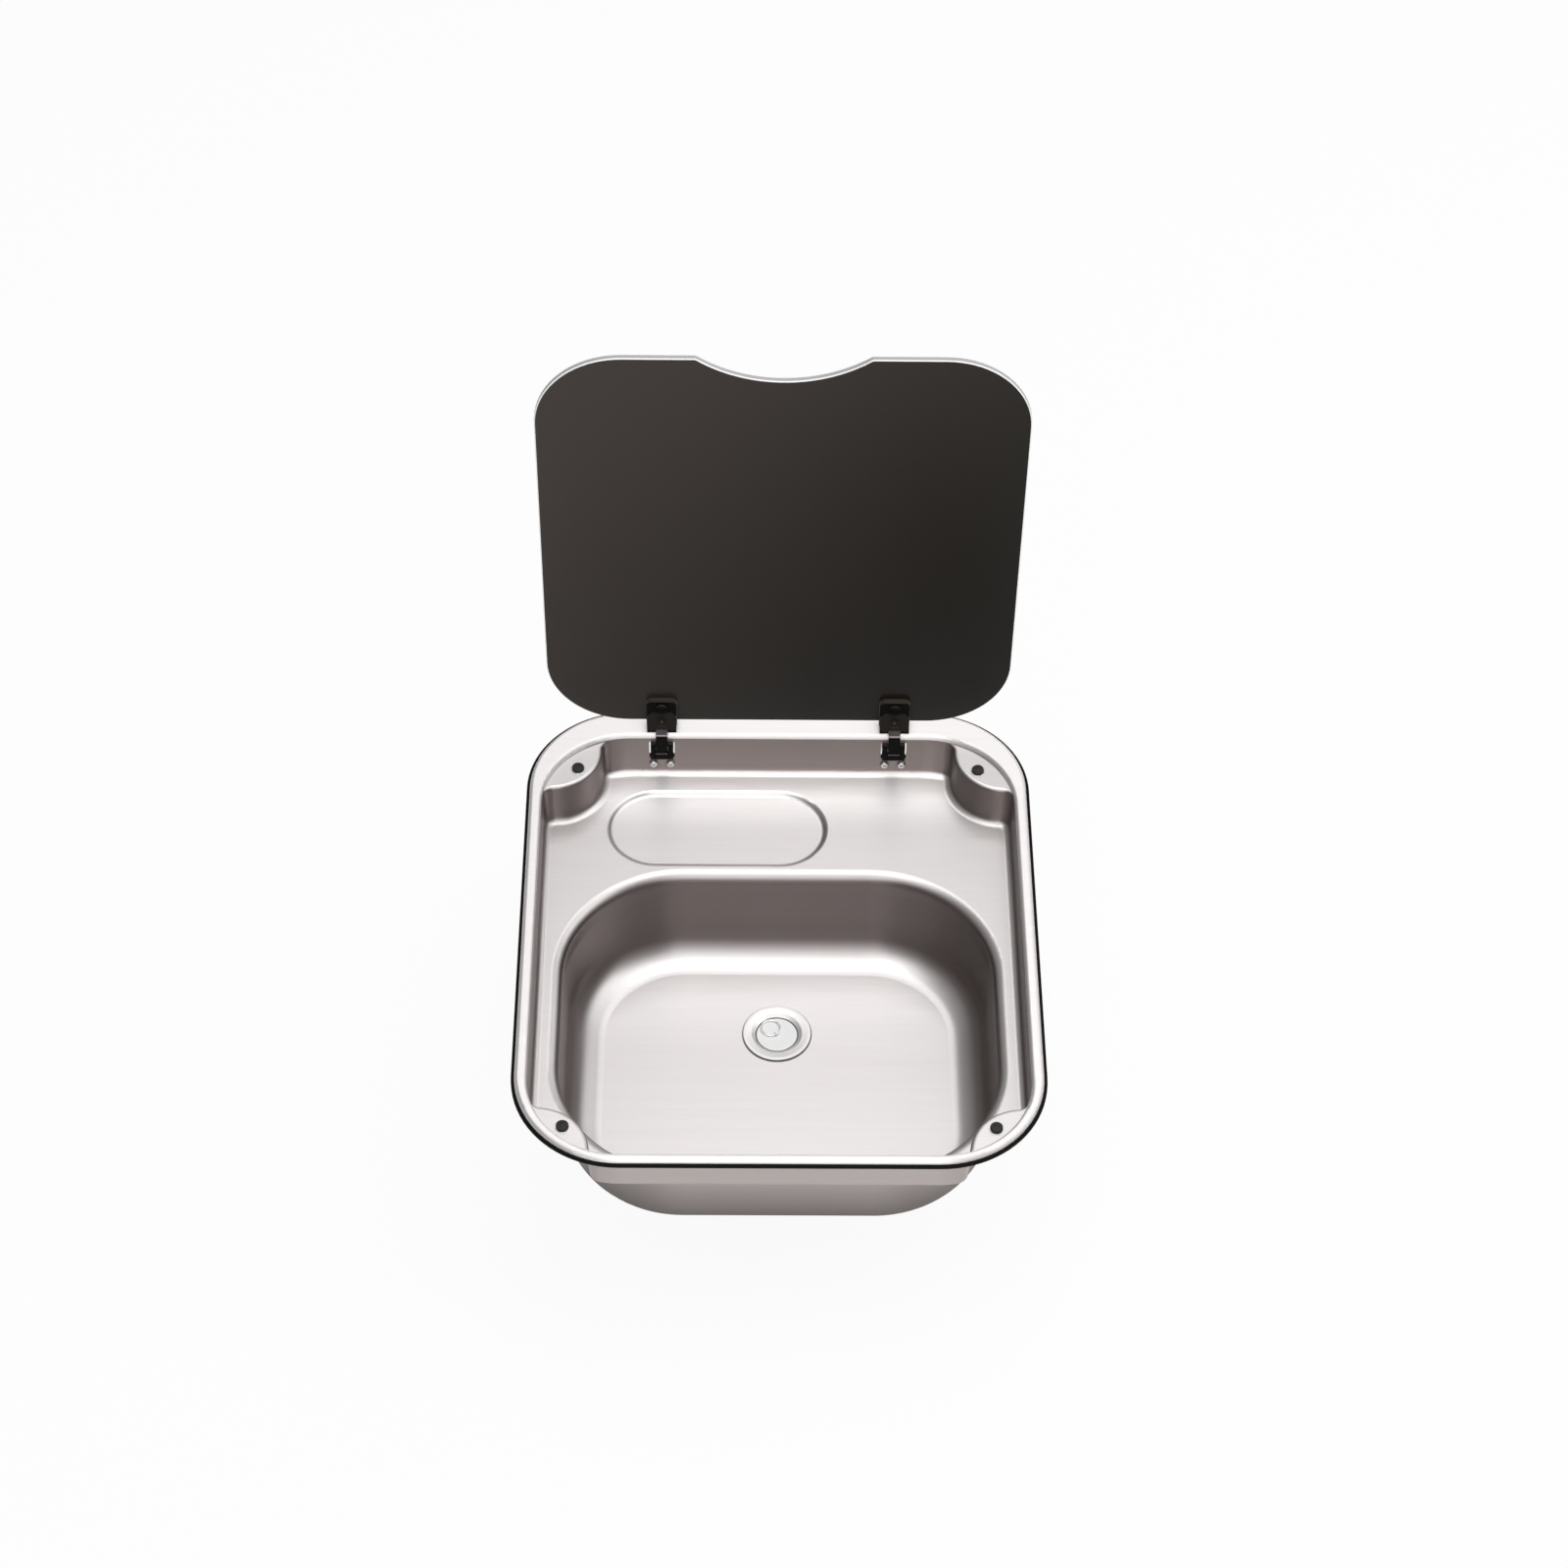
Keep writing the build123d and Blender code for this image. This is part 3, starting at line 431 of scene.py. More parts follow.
# ------------------------------------------------------------------ finishes
@dataclass(frozen=True)
class DrawnStainless:
    """304 stainless sheet, deep drawn, then brushed from side to side.

    To the eye the flats are bright, with fine side-to-side lines that smear reflections from
    front to rear, and painted highlights lighten the rim's bead and the flats' rear. The steep
    walls are a little rougher, and painted darker and warmer as shade. The outside has painted
    shade that darkens it downwards and on the bead's outer side.
    """

    name: str = "brushed_304_stainless"
    flat: str = "#d7d3d2"
    buffed: str = "#f7f4f3"  # the flats' rear, lighter as a painted highlight
    # the rim's bead, lighter as a painted highlight
    rim: str = "#f1eeed"
    # steep walls: darker and warmer as painted shade
    wall: str = "#857c7a"
    # the outside: painted shade, lighter at the top and darker at the foot
    outside_high: str = "#beb6b4"
    outside_low: str = "#6c6563"
    bead_side: str = "#5a5452"  # the rim's outer side, above the worktop, darker as painted shade
    outside_span: Span = (-118.0, -45.0)  # mm; heights of the darkest and the lightest painted shade
    wall_to_flat: Span = (0.4, 0.95)  # vertical share of the normal; wall below, flat above
    outside_slope: float = 0.3  # outside faces have a smaller vertical share
    level_slack: float = 2.0  # mm; keeps undersides, which face neither way, outside
    rim_span: Span = (1.0, 2.4)  # mm; the heights between which the rim's tone sets in
    deck_top: float = -15.0  # mm; the deck lies below this
    floor_top: float = -114.0  # mm; the bowl's floor lies below this
    buffing_depth: float = 8.0  # mm below the top, where the painted highlight is full
    deck_buffed: Span = (140.0, 190.0)  # mm; y where the painted highlight starts and where it is full
    floor_buffed: Span = (-30.0, 110.0)
    bowl_axis: float = -43.0  # mm; y of the bowl's middle
    flat_roughness: float = 0.4
    wall_roughness: float = 0.45
    rim_roughness: float = 0.55
    unevenness: float = 0.12  # of the roughness, from line to line
    directional: float = 0.7
    side_wall_share: float = 0.4  # turns the smear level on walls that face sideways
    line_size: Point = (45.0, 0.9, 0.9)  # mm; real lines of 0.2 mm would not show
    line_depth: float = 0.008  # mm
    line_strength: float = 0.5
    line_tone: Span = (0.965, 1.025)
    band_size: Point = (260.0, 7.0, 7.0)  # mm
    band_tone: Span = (0.98, 1.015)
    noise_span: Span = (0.25, 0.75)  # the noise seldom leaves it
    noise_detail: float = 3.0
    noise_roughness: float = 0.6

    def lines(self, shader: Shader, size: Point) -> bpy.types.NodeSocket:
        """Add noise that is drawn out from side to side.

        Args:
            shader: The material's tree.
            size: Length, distance and height of a line in millimetres.

        Returns:
            The noise.
        """
        return shader.streaks(size, Detail=self.noise_detail, Roughness=self.noise_roughness)

    def outer(self, shader: Shader) -> bpy.types.NodeSocket:
        """Add the share of outside: 1 where a steep face points away from the bowl's axis.

        Args:
            shader: The material's tree.

        Returns:
            The share.
        """
        middle = (0, -self.bowl_axis * MM, 0)
        spoke = shader.put(
            "VectorMath",
            {"operation": "MULTIPLY_ADD"},
            {0: shader.place.outputs["Object"], 1: (1, 1, 0), 2: middle},
        )
        away = shader.dot(spoke.outputs[0], shader.place.outputs["Normal"])
        outward = shader.calc("GREATER_THAN", away, -self.level_slack * MM)
        steep = shader.calc("LESS_THAN", shader.facing.outputs["Z"], self.outside_slope)
        return shader.calc("MULTIPLY", outward, steep)

    def outer_tone(self, shader: Shader) -> bpy.types.NodeSocket:
        """Add the outside's colour, with painted shade that darkens it downwards and darker
        painted shade on the bead's outer side on top.

        Args:
            shader: The material's tree.

        Returns:
            The colour.
        """
        height = shader.spot.outputs["Z"]
        drop = shader.ramp(height, metres(*self.outside_span))
        shaded_outside = shader.mix(drop, self.outside_low, self.outside_high)
        above = shader.calc("GREATER_THAN", height, 0.0)  # the worktop lies at 0
        return shader.mix(above, shaded_outside, self.bead_side)

    def buffing(self, shader: Shader, reach: Span, top: float) -> bpy.types.NodeSocket:
        """Add the share of painted highlight, which grows towards the rear of a flat.

        Args:
            shader: The material's tree.
            reach: The y where it starts and the y where it is full, in millimetres.
            top: The height in millimetres where it starts, growing downwards.

        Returns:
            The share.
        """
        depths = metres(top, top - self.buffing_depth)
        rear = shader.ramp(shader.spot.outputs["Y"], metres(*reach), smooth=True)
        below = shader.ramp(shader.spot.outputs["Z"], depths, smooth=True)
        return shader.calc("MULTIPLY", rear, below)

    def unshaded(
        self, shader: Shader, flat: bpy.types.NodeSocket, rim: bpy.types.NodeSocket
    ) -> bpy.types.NodeSocket:
        """Add the steel's colour without its lines, with its painted shade and painted
        highlights.

        Args:
            shader: The material's tree.
            flat: The share of flat.
            rim: The share of rim.

        Returns:
            The colour.
        """
        # steep walls and the outside get painted shade; the flats' rear and the rim get painted
        # highlights
        shaded_sides = shader.mix(self.outer(shader), self.wall, self.outer_tone(shader))
        drawn = shader.mix(shader.calc("MAXIMUM", flat, rim), shaded_sides, self.flat)
        deck = self.buffing(shader, self.deck_buffed, self.deck_top)
        floor = self.buffing(shader, self.floor_buffed, self.floor_top)
        either = shader.calc("MAXIMUM", deck, floor)
        highlighted = shader.mix(shader.calc("MULTIPLY", either, flat), drawn, self.buffed)
        # the rim's bead takes its lighter colour, a painted highlight
        return shader.mix(rim, highlighted, self.rim)

    def roughness(
        self,
        shader: Shader,
        flat: bpy.types.NodeSocket,
        rim: bpy.types.NodeSocket,
        brush: bpy.types.NodeSocket,
    ) -> bpy.types.NodeSocket:
        """Add the steel's roughness, which differs a little from line to line.

        Args:
            shader: The material's tree.
            flat: The share of flat.
            rim: The share of rim.
            brush: The fine lines.

        Returns:
            The roughness.
        """
        level = shader.calc("MAXIMUM", flat, rim)
        inner = shader.ramp(level, to=(self.wall_roughness, self.flat_roughness))
        edged = shader.put("Mix", inputs={0: rim, 2: inner, 3: self.rim_roughness})
        uneven = shader.calc("MULTIPLY_ADD", brush, self.unevenness, edged.outputs[0])
        return shader.calc("SUBTRACT", uneven, self.unevenness / 2)

    def smear(self, shader: Shader) -> bpy.types.NodeSocket:
        """Add the way that reflections smear: along the surface, square to the brushing.

        Args:
            shader: The material's tree.

        Returns:
            The tangent.
        """
        across = shader.calc("ADD", shader.facing.outputs["Z"], self.side_wall_share)
        down = shader.calc("MULTIPLY", shader.facing.outputs["Y"], -1.0)
        return shader.put("CombineXYZ", inputs={1: across, 2: down}).outputs[0]

    def make(self) -> bpy.types.Material:
        """Build the material.

        Returns:
            Steel that is bright and finely lined on its flats, and duller on drawn walls.
        """
        shader = Shader(bpy.data.materials.new(self.name))
        brush = self.lines(shader, self.line_size)
        bands = self.lines(shader, self.band_size)
        # the share of flat, where the walls' painted shade gives way to the flats' colour
        flat = shader.ramp(shader.facing.outputs["Z"], self.wall_to_flat, smooth=True)
        rim = shader.ramp(shader.spot.outputs["Z"], metres(*self.rim_span), smooth=True)
        line = shader.ramp(brush, self.noise_span, self.line_tone)
        band = shader.ramp(bands, self.noise_span, self.band_tone)
        both = shader.calc("MULTIPLY", line, band)
        return shader.surface(
            {
                "Base Color": shader.shade(self.unshaded(shader, flat, rim), both),
                "Metallic": 1.0,
                "Roughness": self.roughness(shader, flat, rim, brush),
                "Anisotropic": self.directional,
                "Tangent": self.smear(shader),
                "Normal": shader.bump(brush, self.line_depth, self.line_strength),
            }
        )


@dataclass(frozen=True)
class Metal:
    """A metal part, machined, plated or polished: a soft shine with a faint cloudiness."""

    name: str
    colour: str
    roughness: float
    grain: float = 0.4  # mm
    spread: float = 0.06  # of the roughness, either way
    smoothest: float = 0.02
    mottle: Span = (0.94, 1.04)

    def make(self) -> bpy.types.Material:
        """Build the material.

        Returns:
            Metal whose roughness and tone wander a little from place to place.
        """
        shader = Shader(bpy.data.materials.new(self.name))
        speckle = shader.speckle(self.grain)
        low = max(self.smoothest, self.roughness - self.spread)
        return shader.surface(
            {
                "Base Color": shader.shade(self.colour, shader.ramp(speckle, to=self.mottle)),
                "Metallic": 1.0,
                "Roughness": shader.ramp(speckle, to=(low, self.roughness + self.spread)),
            }
        )


@dataclass(frozen=True)
class BlackedStrap:
    """Spring steel strap, chemically blacked: black sides, and a top painted brushed grey as a
    reflection.
    """

    name: str = "blacked_spring_steel"
    black: str = "#0b0b0a"
    worn: str = "#8d8285"
    worn_slope: Span = (0.55, 0.9)  # vertical share of the normal
    roughness: float = 0.42
    spread: float = 0.1  # of the roughness, either way
    scratch_size: Point = (0.5, 6.0, 6.0)  # mm
    scratch_tone: Span = (0.7, 1.25)

    def make(self) -> bpy.types.Material:
        """Build the material.

        Returns:
            A strap that is black on its upright faces, with a painted reflection in brushed grey
            on top.
        """
        shader = Shader(bpy.data.materials.new(self.name))
        scratch = shader.streaks(self.scratch_size)
        # top faces get a painted reflection in brushed grey
        top = shader.ramp(shader.facing.outputs["Z"], self.worn_slope, smooth=True)
        worn = shader.shade(self.worn, shader.ramp(scratch, to=self.scratch_tone))
        rough = (self.roughness - self.spread, self.roughness + self.spread)
        return shader.surface(
            {
                "Base Color": shader.mix(top, self.black, worn),
                "Metallic": 1.0,
                "Roughness": shader.ramp(scratch, to=rough),
            }
        )


@dataclass(frozen=True)
class Moulded:
    """Moulded plastic or rubber: an even colour with a fine eroded grain that dulls it."""

    name: str
    colour: str
    roughness: float
    grain: float = 0.35  # mm
    depth: float = 0.01  # mm
    relief: float = 0.6
    spread: float = 0.07  # of the roughness, either way
    mottle: Span = (0.9, 1.1)
    ior: float = 1.5
    shine: float = 0.5
    dust: str | None = None  # colour of faces that look up, lighter as painted light
    dust_slope: Span = (0.1, 0.8)  # vertical share of the normal

    def make(self) -> bpy.types.Material:
        """Build the material.

        Returns:
            A dielectric with grain in its bump, roughness and colour.
        """
        shader = Shader(bpy.data.materials.new(self.name))
        grain = shader.speckle(self.grain)
        # faces that look up get painted light
        upward = shader.ramp(shader.facing.outputs["Z"], self.dust_slope)
        lit_topped = shader.mix(upward, self.colour, self.dust or self.colour)
        rough = (self.roughness - self.spread, self.roughness + self.spread)
        return shader.surface(
            {
                "Base Color": shader.shade(lit_topped, shader.ramp(grain, to=self.mottle)),
                "Roughness": shader.ramp(grain, to=rough),
                "IOR": self.ior,
                "Specular IOR Level": self.shine,
                "Normal": shader.bump(grain, self.depth, self.relief),
            }
        )


@dataclass(frozen=True)
class LidGlass:
    """Toughened float glass, enamelled dark on one face, with a ground edge.

    To the eye the enamel is warm black, with painted light that makes it a little lighter
    towards the top left. The edge is frosted grey between two polished arrises painted white
    as a highlight, and has painted shade where it looks down.
    """

    name: str = "enamelled_toughened_glass"
    # the enamel's lighter end, painted light from the top left
    enamel_light: str = "#443e3a"
    enamel_dark: str = "#1e1b17"
    ground_edge: str = "#b4b0b2"
    # the polished arrises, white as a painted highlight
    arris: str = "#ffffff"
    fade_way: Point = (1.4, 0.0, -1.0)
    fade_span: Span = (-0.6, 0.1)  # m along the painted light's way
    face_share: float = 0.95  # of the normal along y; the two faces have more
    edge_share: float = 0.3  # the ground edge has less
    underside: Span = (-0.5, -0.1)  # vertical share of the normal, over which the edge's painted shade gives way
    roughness: float = 0.35
    ior: float = 1.5
    shine: float = 0.15

    def make(self) -> bpy.types.Material:
        """Build the material.

        Returns:
            Dark smooth faces and a pale, dull edge, told apart by the normal.
        """
        shader = Shader(bpy.data.materials.new(self.name))
        upright = shader.calc("ABSOLUTE", shader.facing.outputs["Y"])
        face = shader.calc("GREATER_THAN", upright, self.face_share)
        ground = shader.calc("LESS_THAN", upright, self.edge_share)
        # painted light on the enamel, lighter towards the top left
        slant = shader.dot(shader.place.outputs["Object"], self.fade_way)
        painted_light = shader.ramp(slant, self.fade_span, smooth=True)
        enamel = shader.mix(painted_light, self.enamel_light, self.enamel_dark)
        ring = shader.mix(ground, self.arris, self.ground_edge)
        # edges that look down take the enamel's colour as painted shade
        lit = shader.ramp(shader.facing.outputs["Z"], self.underside)
        edge = shader.mix(lit, enamel, ring)
        return shader.surface(
            {
                "Base Color": shader.mix(face, edge, enamel),
                "Roughness": self.roughness,
                "IOR": self.ior,
                "Specular IOR Level": self.shine,
            }
        )


# ------------------------------------------------------------------ named choices
class Side(Enum):
    """The two hinges, by the sign of their place across the sink."""

    LEFT = -1
    RIGHT = 1

    @property
    def word(self) -> str:
        """The side's name as the CAD nodes write it."""
        return self.name.lower()


class Corner(Enum):
    """The four corner pads, by the signs of their place."""

    FRONT_LEFT = (-1, -1)
    FRONT_RIGHT = (1, -1)
    REAR_LEFT = (-1, 1)
    REAR_RIGHT = (1, 1)

    @property
    def word(self) -> str:
        """The corner's name as the CAD nodes write it."""
        return self.name.lower()


# ------------------------------------------------------------------ sub-assemblies
@dataclass
class Basin:
    """The pressed basin and the rubber seal round its rim."""

    steel: DrawnStainless = DrawnStainless()
    seal: Moulded = Moulded("black_epdm_rubber", "#070605", 0.55, shine=0.1)  # a dull black line

    def build(self) -> None:
        """Dress the basin and its seal."""
        wear(self.steel.make(), "sink_basin")
        wear(self.seal.make(), "rim_seal")


@dataclass
class Buffers:
    """Four rubber lid buffers, each in a bright pressed collar, with a cap over its screw."""

    hole_x: float = 160.0  # mm
    hole_y: float = 176.0
    pad_top: float = 0.8
    buffer_top: float = 3.8
    collar_radii: Span = (4.7, 5.7)
    collar_height: float = 0.5
    collar_round: float = 0.2
    cap_radius: float = 2.35
    cap_rise: float = 0.12  # above the buffer
    cap_depth: float = 0.6  # the whole dome
    smooth: float = 60.0  # degrees
    rubber: Moulded = Moulded("black_buffer_rubber", "#1b1918", 0.62)  # matt, paler than the seal
    steel: Metal = Metal("bright_pressed_collar", "#f2eeec", 0.28)  # a thin bright ring

    def collar(self, corner: Corner) -> bpy.types.Object:
        """Spin one rounded collar round its buffer.

        Args:
            corner: The pad that it lies on.

        Returns:
            The collar.
        """
        foot = self.pad_top - SUNK
        piece = spun_ring(
            f"buffer_collar_{corner.word}",
            (corner.value[0] * self.hole_x, corner.value[1] * self.hole_y),
            self.collar_radii,
            (foot, foot + self.collar_height),
            self.collar_round,
        )
        return close(piece, self.steel.make(), "root", self.smooth)

    def cap(self, corner: Corner) -> bpy.types.Object:
        """Make the low domed cap that closes one buffer's hole.

        Args:
            corner: The pad that it sits over.

        Returns:
            The cap.
        """
        place = metres(
            corner.value[0] * self.hole_x,
            corner.value[1] * self.hole_y,
            self.buffer_top - self.cap_depth + self.cap_rise,
        )
        piece = start(
            f"buffer_cap_{corner.word}",
            bpy.ops.mesh.primitive_uv_sphere_add,
            segments=32,
            ring_count=24,
            radius=1.0,
            location=place,
            scale=metres(self.cap_radius, self.cap_radius, self.cap_depth),
        )
        bpy.ops.mesh.bisect(
            plane_co=place,
            plane_no=(0, 0, 1),
            threshold=WELD * MM,  # the default would also keep the ring of points below the cut
            use_fill=True,
            clear_inner=True,
        )
        return close(piece, self.rubber.make(), "root", self.smooth)

    def build(self) -> None:
        """Model one collar and one cap, copy them to the other pads and dress the buffers."""
        wear(self.rubber.make(), *(f"lid_buffer_{corner.word}" for corner in Corner))
        first = Corner.FRONT_LEFT
        for piece in (self.collar(first), self.cap(first)):
            for corner in Corner:
                if corner is first:
                    continue
                shift = metres(
                    (corner.value[0] - first.value[0]) * self.hole_x,
                    (corner.value[1] - first.value[1]) * self.hole_y,
                    0.0,
                )
                copy_to(piece, piece.name.replace(first.word, corner.word), shift)


@dataclass
class Lid:
    """The toughened glass lid."""

    glass: LidGlass = LidGlass()

    def build(self) -> None:
        """Dress the glass and keep its mirror image and shadow off the steel."""
        wear(self.glass.make(), "glass_lid")
        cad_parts["glass_lid"].visible_glossy = False
        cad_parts["glass_lid"].visible_shadow = False


@dataclass
class Hinge:
    """One hinge: black housing, steel arm, screws, and the black clamp on the glass."""

    side: Side
    place_x: float = 93.7  # mm, as all lengths here
    strap_width: float = 9.4
    strap_top: float = 8.8  # z
    rib_count: int = 5
    rib_start: float = 209.5  # y of the ribs' front
    rib_length: float = 1.9
    rib_height: float = 0.3
    rib_share: float = 0.62  # of the pitch
    rib_top: Span = (0.7, 0.85)  # the top's share of the foot, across and along
    rib_round: float = 0.06
    upward: float = 0.9  # vertical share of a top face's normal
    tail_front: float = 203.9  # y
    tail_lip_height: float = -11.6  # z
    tail_lip: float = 0.4
    lip_stretch: float = 1.5  # the lip's height over its thickness
    lip_round: float = 0.12
    wedge_low: Span = (211.5, 8.0)  # y and z of the wedge's slanted face
    wedge_high: Span = (219.2, 25.0)
    panel_middle: float = 7.2  # up the slanted face
    panel_radius: float = 4.7
    panel_drop: float = 4.6
    panel_proud: float = 0.16
    panel_border: float = 0.35
    panel_sink: float = 0.1  # the middle below its border, and the foot below the face
    halfway_slack: float = 0.01  # keeps points at the arch's own height in the arch
    arrow_up: float = 0.3  # above the panel's middle
    arrow_radius: float = 1.7
    arrow_height: float = 0.26
    arrow_slope: Span = (0.25, 0.08)  # how far its middle lies inwards and outwards
    line_drop: float = 3.4  # below the panel's middle
    line_proud: float = 0.05  # of the line's own middle, above the slanted face
    line_share: float = 0.8  # of the strap's width
    line_size: Span = (0.35, 0.3)
    line_round: float = 0.08
    plastic: Moulded = Moulded(  # deep black, with painted light making it brownish where it looks up
        "black_acetal", "#070706", 0.5, shine=0.06, dust="#3a3430"
    )
    mark_plastic: Moulded = Moulded("black_acetal_raised", "#2f2d2a", 0.5)  # stands out as grey
    strap: BlackedStrap = BlackedStrap()
    edge: Metal = Metal("worn_spring_steel", "#7d7576", 0.45)  # dull mid grey, lighter than the blacked strap as a painted highlight
    screw: Metal = Metal("chromed_screw", "#c9c7c5", 0.16)  # small sharp highlights
    zinc: Metal = Metal("zinc_plated_steel", "#b8babd", 0.35)  # pale grey, softly shiny
    gasket: Moulded = Moulded("black_gasket_rubber", "#171615", 0.7)  # matt black

    @property
    def middle(self) -> float:
        """The hinge's middle plane across the sink, in metres."""
        return self.side.value * self.place_x * MM

    def slope(self) -> tuple[Vector, Vector, float]:
        """Work out the wedge's slanted face.

        Returns:
            A unit vector up the face, its outward normal, and its tilt back from level.
        """
        rise = Vector(self.wedge_high) - Vector(self.wedge_low)
        up = Vector((0, *rise)).normalized()
        return up, Vector((0, -up.z, up.y)), math.atan2(up.z, up.y)

    def on_wedge(self, height: float, proud: float = 0.0) -> Point:
        """Find a point on the wedge's slanted face.

        Args:
            height: Millimetres up the face from its nose.
            proud: Millimetres out from the face.

        Returns:
            The point in metres, in the hinge's middle plane.
        """
        up, out, _ = self.slope()
        foot = Vector((0, *self.wedge_low))
        point = (foot + up * height + out * proud) * MM
        return self.middle, point.y, point.z

    def ribs(self) -> None:
        """Model the row of small ribs where the strap enters the clamp."""
        pitch = self.strap_width / self.rib_count
        foot = self.strap_top - SUNK
        piece = start(
            f"strap_ribs_{self.side.word}",
            bpy.ops.mesh.primitive_cube_add,
            size=1.0,
            location=(
                self.middle - (self.rib_count - 1) / 2 * pitch * MM,
                (self.rib_start + self.rib_length / 2) * MM,
                (foot + self.rib_height / 2) * MM,
            ),
            scale=metres(self.rib_share * pitch, self.rib_length, self.rib_height),
        )
        pick_faces(piece, lambda normal: normal.z > self.upward)
        bpy.ops.transform.resize(value=(*self.rib_top, 1))
        bpy.ops.mesh.select_all(action="SELECT")
        bpy.ops.mesh.bevel(offset=self.rib_round * MM, segments=2, affect="EDGES")
        bpy.ops.object.mode_set(mode="OBJECT")
        row = piece.modifiers.new("row", "ARRAY")
        row.count = self.rib_count
        row.use_relative_offset, row.use_constant_offset = False, True
        row.constant_offset_displace = (pitch * MM, 0, 0)
        bpy.ops.object.modifier_apply(modifier="row")
        bpy.ops.object.mode_set(mode="EDIT")
        close(piece, self.edge.make(), "lid")

    def lip(self) -> None:
        """Model the small rolled lip across the arm's tail."""
        depth = self.tail_lip + 2 * SUNK
        piece = start(
            f"tail_lip_{self.side.word}",
            bpy.ops.mesh.primitive_cube_add,
            size=1.0,
            location=(
                self.middle,
                (self.tail_front - self.tail_lip + depth / 2) * MM,
                self.tail_lip_height * MM,
            ),
            scale=metres(self.strap_width, depth, self.tail_lip * self.lip_stretch),
        )
        bpy.ops.mesh.bevel(offset=self.lip_round * MM, segments=3, affect="EDGES")
        close(piece, self.edge.make(), "lid")

    def panel(self) -> None:
        """Model the clamp's sunk middle panel with its arched top."""
        up, out, tilt = self.slope()
        place = self.on_wedge(self.panel_middle, -self.panel_sink)
        piece = start(
            f"clamp_panel_{self.side.word}",
            bpy.ops.mesh.primitive_circle_add,
            vertices=48,
            radius=self.panel_radius * MM,
            fill_type="NGON",
            location=place,
            rotation=(tilt, 0, 0),
        )
        lower = -self.halfway_slack * MM
        pick_points(piece, lambda point: (point - Vector(place)).dot(up) < lower)
        bpy.ops.transform.translate(value=up * -self.panel_drop * MM)
        bpy.ops.mesh.select_all(action="SELECT")
        rise = out * (self.panel_proud + self.panel_sink) * MM
        bpy.ops.mesh.extrude_region_move(TRANSFORM_OT_translate={"value": rise})
        bpy.ops.mesh.inset(thickness=self.panel_border * MM)
        bpy.ops.transform.translate(value=out * -self.panel_sink * MM)
        close(piece, self.plastic.make(), "lid")

    def arrow(self) -> None:
        """Model the small raised triangle on the panel."""
        _, out, tilt = self.slope()
        inwards, outwards = metres(*self.arrow_slope)
        piece = start(
            f"clamp_arrow_{self.side.word}",
            bpy.ops.mesh.primitive_circle_add,
            vertices=3,
            radius=self.arrow_radius * MM,
            fill_type="NGON",
            location=self.on_wedge(self.panel_middle + self.arrow_up),
            rotation=(tilt, 0, 0),
        )
        rise = out * self.arrow_height * MM
        bpy.ops.mesh.extrude_region_move(TRANSFORM_OT_translate={"value": rise})
        bpy.ops.mesh.inset(thickness=inwards)
        bpy.ops.transform.translate(value=out * outwards)
        close(piece, self.mark_plastic.make(), "lid")

    def line(self) -> None:
        """Model the raised line below the triangle."""
        piece = start(
            f"clamp_line_{self.side.word}",
            bpy.ops.mesh.primitive_cube_add,
            size=1.0,
            location=self.on_wedge(self.panel_middle - self.line_drop, self.line_proud),
            rotation=(self.slope()[2], 0, 0),
            scale=metres(self.strap_width * self.line_share, *self.line_size),
        )
        bpy.ops.mesh.bevel(offset=self.line_round * MM, segments=2, affect="EDGES")
        close(piece, self.mark_plastic.make(), "lid")

    def build(self) -> None:
        """Dress the hinge's CAD nodes and add its small pieces."""
        side = self.side.word
        shell = ("hinge_housing", "clamp_body", "clamp_cap", "clamp_screw")
        works = ("hinge_pin", "hinge_nut_plate", "hinge_spring")
        wear(self.plastic.make(), *(f"{name}_{side}" for name in shell))
        wear(self.strap.make(), f"hinge_arm_{side}")
        wear(self.screw.make(), f"hinge_screws_{side}")
        wear(self.zinc.make(), *(f"{name}_{side}" for name in works))
        wear(self.gasket.make(), f"clamp_gasket_{side}", f"cap_gasket_{side}")
        self.ribs()
        self.lip()
        self.panel()
        self.arrow()
        self.line()


@dataclass
class Waste:
    """The waste outlet under the bowl and its flange in the bowl's floor."""

    drain: Span = (0.0, 6.0)  # mm, as all lengths here
    flange_radius: float = 27.2
    bowl_floor: float = -124.0
    bead_width: float = 0.5
    bead_height: float = 0.8
    smooth: float = 60.0  # degrees
    flange: Metal = Metal("polished_stainless", "#fffdfc", 0.5)  # a white, cloudy shine
    gasket: Moulded = Moulded("black_washer_rubber", "#0c0b0b", 0.7, shine=0.2)  # matt black
    plastic: Moulded = Moulded("grey_white_polypropylene", "#d8d7d2", 0.45)  # off-white, satin

    def bead(self) -> None:
        """Model the line of gasket rubber squeezed out round the flange's foot."""
        piece = spun_ring(
            "flange_gasket_bead",
            self.drain,
            (self.flange_radius - self.bead_width / 2, self.flange_radius + self.bead_width),
            (self.bowl_floor - SUNK, self.bowl_floor + self.bead_height),
            self.bead_width / 2,
        )
        close(piece, self.gasket.make(), "root", self.smooth)

    def build(self) -> None:
        """Dress the waste's CAD nodes and add the bead."""
        wear(self.flange.make(), "waste_flange")
        wear(self.gasket.make(), "flange_gasket", "lower_gasket")
        wear(self.plastic.make(), "back_nut", "waste_body")
        self.bead()


